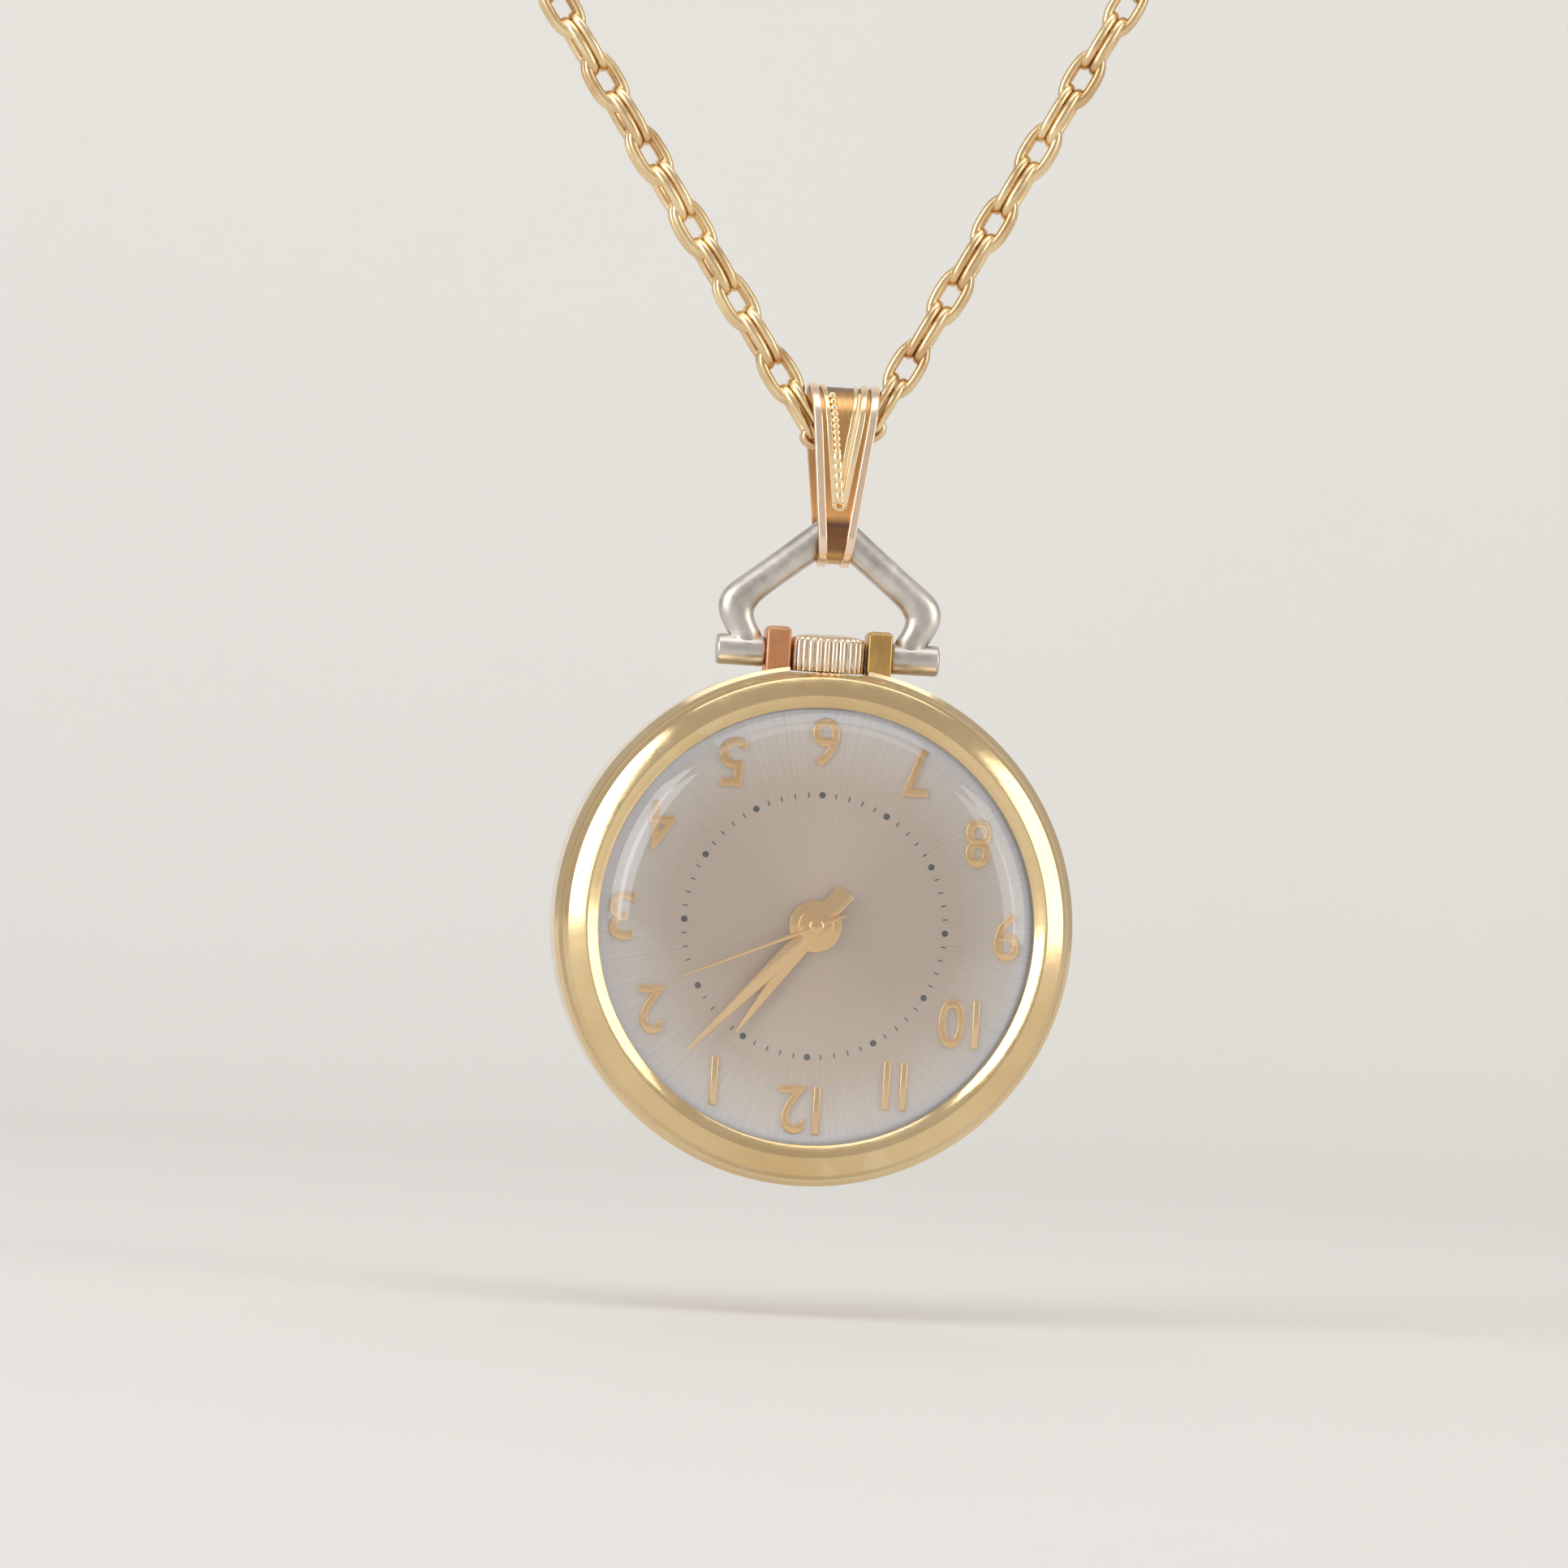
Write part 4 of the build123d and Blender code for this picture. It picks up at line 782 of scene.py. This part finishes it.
def figure(dial, digit, across, up):
    """One raised figure, upright for a dial that hangs upside down."""
    place = spot(across, up, dial_face - dial.relief / 2)
    clear_selection()
    if digit == "1":
        bpy.ops.mesh.primitive_cube_add(
            size=1, location=place, scale=(dial.stroke, dial.relief, dial.figure_height)
        )
        piece = name_piece("figure_bar")
        soften(piece, dial.relief / 3, segments=3, limit=60)
        return piece
    bpy.ops.object.text_add(location=(0, 0, 0))
    text = bpy.context.object.data
    text.body = digit
    text.size = 1
    text.extrude = 0.02
    text.bevel_depth = 0.015
    text.bevel_resolution = 2
    bpy.ops.object.convert(target="MESH")
    piece = bpy.context.object
    piece.name = "figure_" + digit
    low = Vector(map(min, *[vertex.co for vertex in piece.data.vertices]))
    high = Vector(map(max, *[vertex.co for vertex in piece.data.vertices]))
    size = high - low
    scale = (dial.figure_width / size.x, dial.figure_height / size.y, dial.relief / size.z, 1)
    facing = Matrix.Rotation(radians(180), 4, "Y") @ Matrix.Rotation(radians(90), 4, "X")
    to_middle = Matrix.Translation(-(low + high) / 2)
    piece.matrix_world = Matrix.Translation(place) @ facing @ Matrix.Diagonal(scale) @ to_middle
    bpy.ops.object.transform_apply()
    edit_all()
    close_up(FINE_WELD)
    bpy.ops.object.shade_smooth_by_angle(angle=radians(35))
    return piece


# Radius at which the hours stand, and the pitch of two digits, in millimetres
HOUR_RADIUS = {3: 11.9, 9: 11.9, 10: 11.0, 11: 11.0}
OTHER_HOUR_RADIUS = 11.3
DIGIT_PITCH = {10: 1.5, 11: 1.05, 12: 1.5}


class WATCH_OT_numerals(bpy.types.Operator):
    """Raise the numerals from one to twelve"""

    bl_idname = "watch.numerals"
    bl_label = "Numerals"

    def execute(self, context):
        dial = context.scene.watch_dial
        figures = []
        for hour in range(1, 13):
            radius = HOUR_RADIUS.get(hour, OTHER_HOUR_RADIUS) * MM
            across, up = dial_place(radius, hour * pi / 6)
            pitch = DIGIT_PITCH.get(hour, 0) * MM
            for digit, side in zip(str(hour), (1, -1)):
                figures.append(figure(dial, digit, across + side * pitch / 2, up))
        piece = join(figures, "dial_numerals")
        hand_over(piece, "numeral_gold", "case", ["numerals"])
        return {"FINISHED"}


def hand_blade(name, node, clockwise, reach, tail, half_width, boss):
    """A hand: a tapered blade with rounded edges, a squared tail and a round boss."""
    low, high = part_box(node)
    front, rear = low.y, high.y
    thickness = rear - front
    tail_width, tip_width = half_width * 0.8, 0.06 * MM
    tail_end, widest = -tail * 0.3, reach * 0.22
    # Round the outline: how far to a side and along the blade
    outline = (
        (-tail_width, -tail),
        (tail_width, -tail),
        (half_width, tail_end),
        (half_width, widest),
        (tip_width, reach),
        (-tip_width, reach),
        (-half_width, widest),
        (-half_width, tail_end),
    )
    points = []
    for side, along in outline:
        across = -along * sin(clockwise) - side * cos(clockwise)
        up = -along * cos(clockwise) + side * sin(clockwise)
        points.append(spot(across, up, rear))
    piece = draw_outline(name + "_blade", points)
    bpy.ops.mesh.edge_face_add()
    bpy.ops.mesh.select_all(action="SELECT")
    pull_out((0, front - rear, 0))
    close_up()
    soften(piece, thickness * 0.45, segments=2, limit=40)
    axis, cap_front = 0.02 * MM, front - 0.06 * MM
    side = [(axis, rear), (boss, rear), (boss, front)]
    top = [(boss * 0.45, cap_front), (axis, cap_front)]
    cap = turn_profile(name + "_boss", side + top, sides=48)
    soften(cap, 0.03 * MM, segments=2, limit=30)
    return join([piece, cap], name)


# Each hand's node and body, its angle from 12 in degrees, and in millimetres how far it reaches,
# its tail, half its width and its boss's radius
HANDS = (
    ("hour_blade", "hour_hand", "hour_train", 33.6, (8.15, 2.9, 0.52, 1.6)),
    ("minute_blade", "minute_hand", "minute_train", 42.9, (11.05, 2.9, 0.5, 1.1)),
    ("second_blade", "second_hand", "seconds_train", 66.6, (8.75, 1.9, 0.13, 0.45)),
)


class WATCH_OT_hands(bpy.types.Operator):
    """Shape the three hands, each on its own wheel's body"""

    bl_idname = "watch.hands"
    bl_label = "Hands"

    def execute(self, context):
        for name, node, body, clockwise, sizes in HANDS:
            sizes = [size * MM for size in sizes]
            piece = hand_blade(name, node, radians(clockwise), *sizes)
            hand_over(piece, "hand_gold", body, [node])
        return {"FINISHED"}


class WATCH_OT_crown(bpy.types.Operator):
    """Shape the ribbed crown"""

    bl_idname = "watch.crown"
    bl_label = "Crown"

    def execute(self, context):
        case = context.scene.watch_case
        low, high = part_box("crown")
        arch = (high.z - low.z) * 0.2
        grip = high.z - low.z - arch
        sides_to_a_rib = 6
        clear_selection()
        bpy.ops.mesh.primitive_cylinder_add(
            vertices=case.crown_ribs * sides_to_a_rib,
            radius=case.crown_radius,
            depth=grip,
            location=(dial_middle.x, 0, low.z + grip / 2),
        )
        piece = name_piece("crown_grip")
        edit_all()
        rib_angle = 2 * pi / case.crown_ribs

        def off_groove(vertex):
            """How far round from a groove's middle a vertex lies, as a share of a rib."""
            turn = atan2(vertex.co.y, vertex.co.x - dial_middle.x) % rib_angle
            return min(turn, rib_angle - turn) / rib_angle

        def narrow(share, height):
            """Bring what is selected towards the crown's axis."""
            middle = (dial_middle.x, 0, height)
            bpy.ops.transform.resize(value=(share, share, 1), center_override=middle)

        # From and to, as shares of a rib, and how deep as a share of the groove
        for start, end, depth in ((0, 0.1, 1), (0.1, 0.25, 0.3)):
            select_where(piece, lambda vertex: start <= off_groove(vertex) < end)
            narrow(1 - case.crown_groove * depth / case.crown_radius, low.z)
        select_where(piece, lambda vertex: vertex.co.z > low.z + grip * 0.5)
        # The top's steps: rise as a share of the arch, and how far each draws in
        for rise, share in ((0.5, 0.93), (0.32, 0.82), (0.18, 0.6)):
            pull_out((0, 0, arch * rise))
            narrow(share, high.z)
        leave_edit()
        soften(piece, 0.03 * MM, segments=2, limit=40)
        hand_over(piece, "crown_plate", "crown", ["crown"])
        return {"FINISHED"}


# The bow from its peak to a foot: across, up, half width and half depth, in millimetres
BOW_LEG = (
    (0, 24.4, 1.12, 0.8),
    (0.75, 23.9, 1.02, 0.8),
    (2.7, 22.36, 0.96, 0.8),
    (4.66, 20.78, 0.97, 0.8),
    (5.33, 20.16, 1.06, 0.79),
    (5.72, 19.62, 1.14, 0.78),
    (5.76, 19.12, 1.1, 0.76),
    (5.6, 18.55, 0.98, 0.73),
    (5.34, 18.0, 0.92, 0.72),
    (5.12, 17.5, 1.0, 0.74),
    (5.06, 16.95, 1.25, 0.8),
)


class WATCH_OT_bow(bpy.types.Operator):
    """Shape the pointed bow with a barrel at each foot"""

    bl_idname = "watch.bow"
    bl_label = "Bow"

    def execute(self, context):
        bow = context.scene.watch_bow
        right = smooth_line(BOW_LEG, steps=4)
        line = [(-across, *rest) for across, *rest in right[:0:-1]] + right
        sections = []
        for index, (across, up, half_width, half_depth) in enumerate(line):
            before = line[max(index - 1, 0)]
            after = line[min(index + 1, len(line) - 1)]
            turn = atan2(after[0] - before[0], after[1] - before[1])
            place = spot(across * MM, up * MM)
            sections.append((place, turn, half_width * MM, half_depth * MM))
        pieces = [loft_bar("bow_wire", sections, sides=28)]
        for side in (-1, 1):
            clear_selection()
            bpy.ops.mesh.primitive_cylinder_add(
                vertices=48,
                radius=bow.barrel_radius,
                depth=bow.barrel_length,
                location=spot(side * bow.barrel_middle, bow.hinge_height),
                rotation=(0, radians(90), 0),
            )
            barrel = name_piece("bow_barrel")
            soften(barrel, bow.edge, segments=4, limit=50)
            pieces.append(barrel)
        hand_over(join(pieces, "bow_wire"), "bow_nickel", "bow", ["bow"])
        return {"FINISHED"}


def strip_line(bail, growth, steps=20):
    """Side view of the bail's strip, depths and heights from its front over the top and round."""
    lean = asin((bail.top_radius - bail.bottom_radius) / (bail.top_circle - bail.bottom_circle))
    points = []
    for start, sweep, radius, height in (
        (lean, pi - 2 * lean, bail.top_radius + growth, bail.top_circle),
        (pi - lean, pi + 2 * lean, bail.bottom_radius + growth, bail.bottom_circle),
    ):
        for step in range(steps + 1):
            turn = start + sweep * step / steps
            points.append((-radius * cos(turn), height + radius * sin(turn)))
    return points


def strip_front(bail, growth, up):
    """Depth of the strip's front at a height."""
    line = strip_line(bail, growth)
    top, bottom = line[0], line[-1]
    if up >= top[1]:
        radius = bail.top_radius + growth
        return -sqrt(max(0, radius**2 - (up - bail.top_circle) ** 2))
    share = (up - bottom[1]) / (top[1] - bottom[1])
    return bottom[0] + (top[0] - bottom[0]) * share


def trim(place, normal, drop_behind=False):
    """Cut the open piece by a plane and drop what lies in front of it, or else behind it."""
    bpy.ops.mesh.select_all(action="SELECT")
    bpy.ops.mesh.bisect(
        plane_co=place,
        plane_no=normal,
        threshold=SLIT,
        clear_inner=drop_behind,
        clear_outer=not drop_behind,
    )


def cut(start, end, drop_left=False):
    """Cut the open piece along a line seen from the front and drop its right or left side."""
    normal = Vector((end[1] - start[1], 0, start[0] - end[0])).normalized()
    trim(spot(*start), normal, drop_left)


def strip_band(bail, name, growth, lines, thickness, low=None):
    """A band on the bail's surface between two lines: its side view drawn out to a sleeve, cut to
    shape and given a thickness. Where a low end is given, only its front above that is kept."""
    width = bail.top_width
    points = [spot(-width, up, depth) for depth, up in strip_line(bail, growth)]
    piece = draw_outline(name, points)
    bpy.ops.mesh.select_all(action="SELECT")
    pull_out((2 * width, 0, 0))
    bpy.ops.mesh.select_all(action="SELECT")
    bpy.ops.mesh.normals_make_consistent(inside=False)
    left, right = sorted(lines)
    cut(*left, drop_left=True)
    cut(*right)
    if low is not None:
        cut((-MM, low), (MM, low))
        trim(spot(0, 0), (0, 1, 0))
    only(piece)
    wall = piece.modifiers.new("Wall", "SOLIDIFY")
    wall.thickness = thickness
    wall.offset = 1
    wall.use_even_offset = True
    bpy.ops.object.modifier_apply(modifier=wall.name)
    return piece


class WATCH_OT_bail(bpy.types.Operator):
    """Fold the bail's strip and lay its rails and the V of beads on it"""

    bl_idname = "watch.bail"
    bl_label = "Bail"

    def execute(self, context):
        bail = context.scene.watch_bail
        top = bail.top_circle + bail.top_radius + bail.sheet
        bottom = bail.bottom_circle - bail.bottom_radius - bail.sheet

        def edge(side, inset=0):
            """A line down the strip, at its edge or inside it."""
            low_reach, high_reach = bail.bottom_width / 2 - inset, bail.top_width / 2 - inset
            return (side * low_reach, bottom), (side * high_reach, top)

        strip = strip_band(bail, "bail_strip", 0, (edge(-1), edge(1)), bail.sheet)
        soften(strip, 0.05 * MM, segments=2, limit=40)
        hand_over(strip, "bail_panel", "bail", ["bail"])
        rails = []
        for side in (-1, 1):
            lines = edge(side), edge(side, bail.rail_width)
            rail = strip_band(bail, "bail_rail", bail.sheet, lines, bail.rail_relief)
            soften(rail, bail.rail_relief * 0.6, segments=4, limit=40)
            rails.append(rail)
        hand_over(join(rails, "bail_rails"), "bail_rail", "bail")
        pieces = self.lay_beads(bail) + self.lay_strokes(bail)
        hand_over(join(pieces, "bail_beads"), "bail_bead", "bail")
        return {"FINISHED"}

    def lay_beads(self, bail):
        """Beads in the V's left stroke, longer ones over them at its foot, and finer ones in the
        right stroke."""
        low, high = bail.vee_low, bail.vee_high
        pieces = []
        clear_selection()
        bpy.ops.mesh.primitive_ico_sphere_add(subdivisions=3, radius=bail.bead_radius)
        model = name_piece("bail_bead")
        bpy.ops.object.shade_smooth()

        def lay_bead(side, share, inset, size, stretch=1):
            """Lay a bead at a share of the V's height, inset from its outer edge."""
            reach = bail.vee_low_reach + (bail.vee_high_reach - bail.vee_low_reach) * share - inset
            up = low + (high - low) * share
            depth = strip_front(bail, bail.sheet + bail.bead_radius * 0.4, up)
            shape = Matrix.Diagonal((size, size * 0.85, size * stretch, 1))
            place = Matrix.Translation(spot(side * reach, up, depth))
            pieces.append(copy_to(model, place @ shape))

        inset = bail.border + bail.bead_radius * 0.9
        for step in range(bail.bead_count):
            lay_bead(-1, (step + 0.5) / bail.bead_count, inset, 1)
        long_beads, first_long, long_pitch = 5, 0.08, 0.085
        for step in range(long_beads):
            lay_bead(-1, first_long + long_pitch * step, inset - 0.03 * MM, 1.12, 1.9)
        fine_count, fine_size = 3 * bail.bead_count, 0.42
        for step in range(fine_count):
            lay_bead(1, (step + 0.5) / fine_count, bail.border * 1.58, fine_size)
        discard(model)
        return pieces

    def lay_strokes(self, bail):
        """The V's smooth bands, one on the left and two on the right, and the U they meet in."""
        low, high = bail.vee_low, bail.vee_high
        border = bail.border
        pieces = []
        # Side, inset from the V's outer edge, width and relief of each band
        for side, inset, width, relief in (
            (-1, 0, border, 0.16 * MM),
            (1, 0, border * 1.3, 0.2 * MM),
            (1, border * 1.85, border * 0.75, 0.12 * MM),
        ):
            low_reach, high_reach = bail.vee_low_reach - inset, bail.vee_high_reach - inset
            lines = [
                ((side * (low_reach - step), low), (side * (high_reach - step), high))
                for step in (0, width)
            ]
            band = strip_band(bail, "bail_border", bail.sheet, lines, relief, low)
            soften(band, relief * 0.55, segments=3, limit=40)
            pieces.append(band)
        clear_selection()
        bpy.ops.mesh.primitive_torus_add(
            major_segments=32,
            minor_segments=12,
            major_radius=bail.vee_low_reach - border / 2,
            minor_radius=border / 2,
            location=spot(0, low, strip_front(bail, bail.sheet, low)),
            rotation=TO_FRONT,
        )
        foot = name_piece("bail_foot")
        edit_all()
        trim(spot(0, low), (0, 0, 1))
        leave_edit()
        bpy.ops.object.shade_smooth()
        return pieces + [foot]


def model_link(name, chain, link_length):
    """One oval link, its length along X and its flat facing Z: a ring drawn out to its length."""
    clear_selection()
    around, across = 32, 14
    bpy.ops.mesh.primitive_torus_add(
        major_segments=around,
        minor_segments=across,
        major_radius=(chain.link_width - chain.wire) / 2,
        minor_radius=chain.wire / 2,
    )
    piece = name_piece(name)
    edit_all()
    stretch = (link_length - chain.link_width) / 2
    for index in range(around):
        reach = cos(2 * pi * index / around)
        select_run(piece, index * across, (index + 1) * across)
        shift = stretch * abs(reach) ** chain.squareness
        bpy.ops.transform.translate(value=(shift if reach > 0 else -shift, 0, 0))
    leave_edit()
    bpy.ops.object.shade_smooth()
    return piece


def lay_pair(model, chain, middle, way, twist):
    """The two parallel links of a pair, their flats turned by a twist from the front."""
    along = Vector((way[0], 0, way[1]))
    flat = Matrix.Rotation(twist, 3, along) @ Vector((0, -1, 0))
    turn = Matrix((along, flat.cross(along), flat)).transposed().to_4x4()
    laid = []
    for side in (-1, 1):
        place = spot(*middle) + flat * side * (chain.wire + chain.pair_gap) / 2
        laid.append(copy_to(model, Matrix.Translation(place) @ turn))
    return laid


class WATCH_OT_chain(bpy.types.Operator):
    """Lay the double links of both strands and the pair in the bail"""

    bl_idname = "watch.chain"
    bl_label = "Chain"

    def execute(self, context):
        chain = context.scene.watch_chain
        # The middle of the pair in the bail, and how far out and down the strands hook into it
        saddle = (0.16 * MM, 30.44 * MM)
        hook_reach, hook_drop = 1.61 * MM, 0.05 * MM
        saddle_way = (cos(chain.saddle_tilt), sin(chain.saddle_tilt))
        end_reach = chain.link_length / 2 - chain.wire / 2 * cos(pi / 6)
        model = model_link("saddle_model", chain, chain.saddle_length)
        pair = lay_pair(model, chain, saddle, saddle_way, 0)
        discard(model)
        piece = join(pair, "chain_saddle")
        hand_over(piece, "chain_gold", "chain", ["saddle_links"])
        model = model_link("link_model", chain, chain.link_length)
        for name, node, side, lean in (
            ("chain_left", "left_strand", -1, chain.left_lean),
            ("chain_right", "right_strand", 1, chain.right_lean),
        ):
            way = (side * sin(lean), cos(lean))
            hook = (
                saddle[0] + saddle_way[0] * side * hook_reach,
                saddle[1] + saddle_way[1] * side * hook_reach - hook_drop,
            )
            laid = []
            for unit in range(1, chain.units + 1):
                reach = end_reach + (unit - 1) * chain.link_pitch
                middle = (hook[0] + way[0] * reach, hook[1] + way[1] * reach)
                swing = chain.swing * sin(pi * unit / (chain.units + 1))
                laid += lay_pair(model, chain, middle, way, unit * pi / 2 - side * swing)
            hand_over(join(laid, name), "chain_gold", "chain", [node])
        discard(model)
        return {"FINISHED"}


def pale_paper(name, shade):
    """Plain pale paper, clear when it is seen from its back so that it hides no view."""
    material, shader = new_material(name, Roughness=0.75)
    darker = [part * 0.985 for part in shade]
    tint = ramp(material, grain(material, 9, 3), [(0.3, darker), (0.7, shade)])
    link(material, tint, shader.inputs["Base Color"])
    side = add_node(material, "ShaderNodeNewGeometry").outputs["Backfacing"]
    clear = add_node(material, "ShaderNodeBsdfTransparent")
    mixed = add_node(material, "ShaderNodeMixShader", side)
    link(material, shader.outputs["BSDF"], mixed.inputs[1])
    link(material, clear.outputs["BSDF"], mixed.inputs[2])
    output = material.node_tree.nodes["Material Output"]
    link(material, mixed.outputs["Shader"], output.inputs["Surface"])
    return material


def add_lamp(name, target, offset, width, height, power, tint):
    """A soft rectangular lamp, offset from the place that it faces."""
    place = target + Vector(offset)
    bpy.ops.object.light_add(type="AREA", location=place)
    lamp = bpy.context.object
    lamp.name = name
    lamp.data.shape = "RECTANGLE"
    lamp.data.size = width
    lamp.data.size_y = height
    lamp.data.energy = power
    lamp.data.color = tint
    lamp.rotation_euler = (target - place).to_track_quat("-Z", "Y").to_euler()


class WATCH_OT_stage(bpy.types.Operator):
    """Set the floor, the backdrop, the lights and the camera"""

    bl_idname = "watch.stage"
    bl_label = "Stage"

    def execute(self, context):
        stage = context.scene.watch_stage
        self.lay_floor(stage)
        target = spot(0, 8 * MM)
        white, cream = (1, 1, 1), (1, 0.94, 0.84)
        add_lamp("Left lamp", target, (-0.5, -0.34, 0.16), 0.36, 0.6, 2.0, white)
        add_lamp("Right lamp", target, (0.52, -0.3, 0.1), 0.3, 0.55, 1.2, cream)
        add_lamp("Top lamp", target, (0.02, -0.12, 0.5), 0.6, 0.3, 0.8, white)
        world = bpy.data.worlds.new("Studio")
        context.scene.world = world
        world.use_nodes = True
        light = {"Color": (0.66, 0.64, 0.62, 1), "Strength": 0.8}
        set_values(world.node_tree.nodes["Background"], light)
        self.aim_camera(context, stage)
        context.scene.view_settings.view_transform = "Standard"
        return {"FINISHED"}

    def lay_floor(self, stage):
        """A floor below the watch that rises behind it in a soft bend to the backdrop."""
        floor_height = dial_middle.z - 24 * MM
        floor_size, floor_middle, wall_height, bend = 1.2, -0.25, 0.9, 0.15
        clear_selection()
        bpy.ops.mesh.primitive_plane_add(
            size=floor_size, location=(dial_middle.x, floor_middle, floor_height)
        )
        cove = name_piece("floor_and_backdrop")
        edit_all()
        select_where(cove, lambda vertex: vertex.co.y > 0)
        pull_out((0, 0, wall_height))
        corner_top = floor_height + 0.01
        select_where(cove, lambda vertex: vertex.co.y > 0 and vertex.co.z < corner_top)
        bpy.ops.mesh.bevel(offset=bend, segments=16, affect="EDGES")
        leave_edit()
        bpy.ops.object.shade_smooth()
        cove.data.materials.append(pale_paper("Pale paper", stage.floor))

    def aim_camera(self, context, stage):
        """The photograph's view: a little from the left, and rolled."""
        target = spot(-2.2 * MM, 8.6 * MM)
        way = Vector((-sin(stage.yaw), -cos(stage.yaw), 0))
        bpy.ops.object.camera_add(location=target + way * stage.camera_distance)
        camera = context.object
        camera.name = "Camera"
        sensor_width = 36
        camera.data.lens_unit = "MILLIMETERS"
        camera.data.sensor_width = sensor_width
        camera.data.lens = sensor_width * stage.camera_distance / stage.frame_width
        camera.data.clip_start = 0.01
        camera.data.clip_end = 10
        facing = (-way).to_track_quat("-Z", "Y")
        roll = Matrix.Rotation(stage.roll, 3, way).to_quaternion()
        camera.rotation_euler = (roll @ facing).to_euler()
        context.scene.camera = camera


class WATCH_PT_panel(bpy.types.Panel):
    """Lists the watch's pieces and their sizes"""

    bl_label = "Pendant Watch"
    bl_idname = "WATCH_PT_panel"
    bl_space_type = "VIEW_3D"
    bl_region_type = "UI"
    bl_category = "Pendant Watch"

    def draw(self, context):
        for operator in operators:
            self.layout.operator(operator.bl_idname)
        for name, group in groups.items():
            box = self.layout.box()
            box.label(text=group.__doc__)
            settings = getattr(context.scene, name)
            for entry in settings.bl_rna.properties:
                if entry.identifier not in ("rna_type", "name"):
                    box.prop(settings, entry.identifier)


groups = {
    "watch_case": CaseSettings,
    "watch_dial": DialSettings,
    "watch_bow": BowSettings,
    "watch_bail": BailSettings,
    "watch_chain": ChainSettings,
    "watch_stage": StageSettings,
}
operators = (
    WATCH_OT_finishes,
    WATCH_OT_bezel,
    WATCH_OT_tabs,
    WATCH_OT_crystal,
    WATCH_OT_track,
    WATCH_OT_numerals,
    WATCH_OT_hands,
    WATCH_OT_crown,
    WATCH_OT_bow,
    WATCH_OT_bail,
    WATCH_OT_chain,
    WATCH_OT_stage,
)


def register():
    """Register the sizes, the operators and the panel."""
    for name, group in groups.items():
        bpy.utils.register_class(group)
        setattr(bpy.types.Scene, name, bpy.props.PointerProperty(type=group))
    for shown in (*operators, WATCH_PT_panel):
        bpy.utils.register_class(shown)


def unregister():
    """Take them out again."""
    for shown in (WATCH_PT_panel, *reversed(operators)):
        bpy.utils.unregister_class(shown)
    for name, group in groups.items():
        delattr(bpy.types.Scene, name)
        bpy.utils.unregister_class(group)


def main():
    """Make every piece and the stage."""
    register()
    bpy.ops.watch.finishes()
    bpy.ops.watch.bezel()
    bpy.ops.watch.tabs()
    bpy.ops.watch.crystal()
    bpy.ops.watch.track()
    bpy.ops.watch.numerals()
    bpy.ops.watch.hands()
    bpy.ops.watch.crown()
    bpy.ops.watch.bow()
    bpy.ops.watch.bail()
    bpy.ops.watch.chain()
    bpy.ops.watch.stage()


if __name__ == "__main__":
    main()
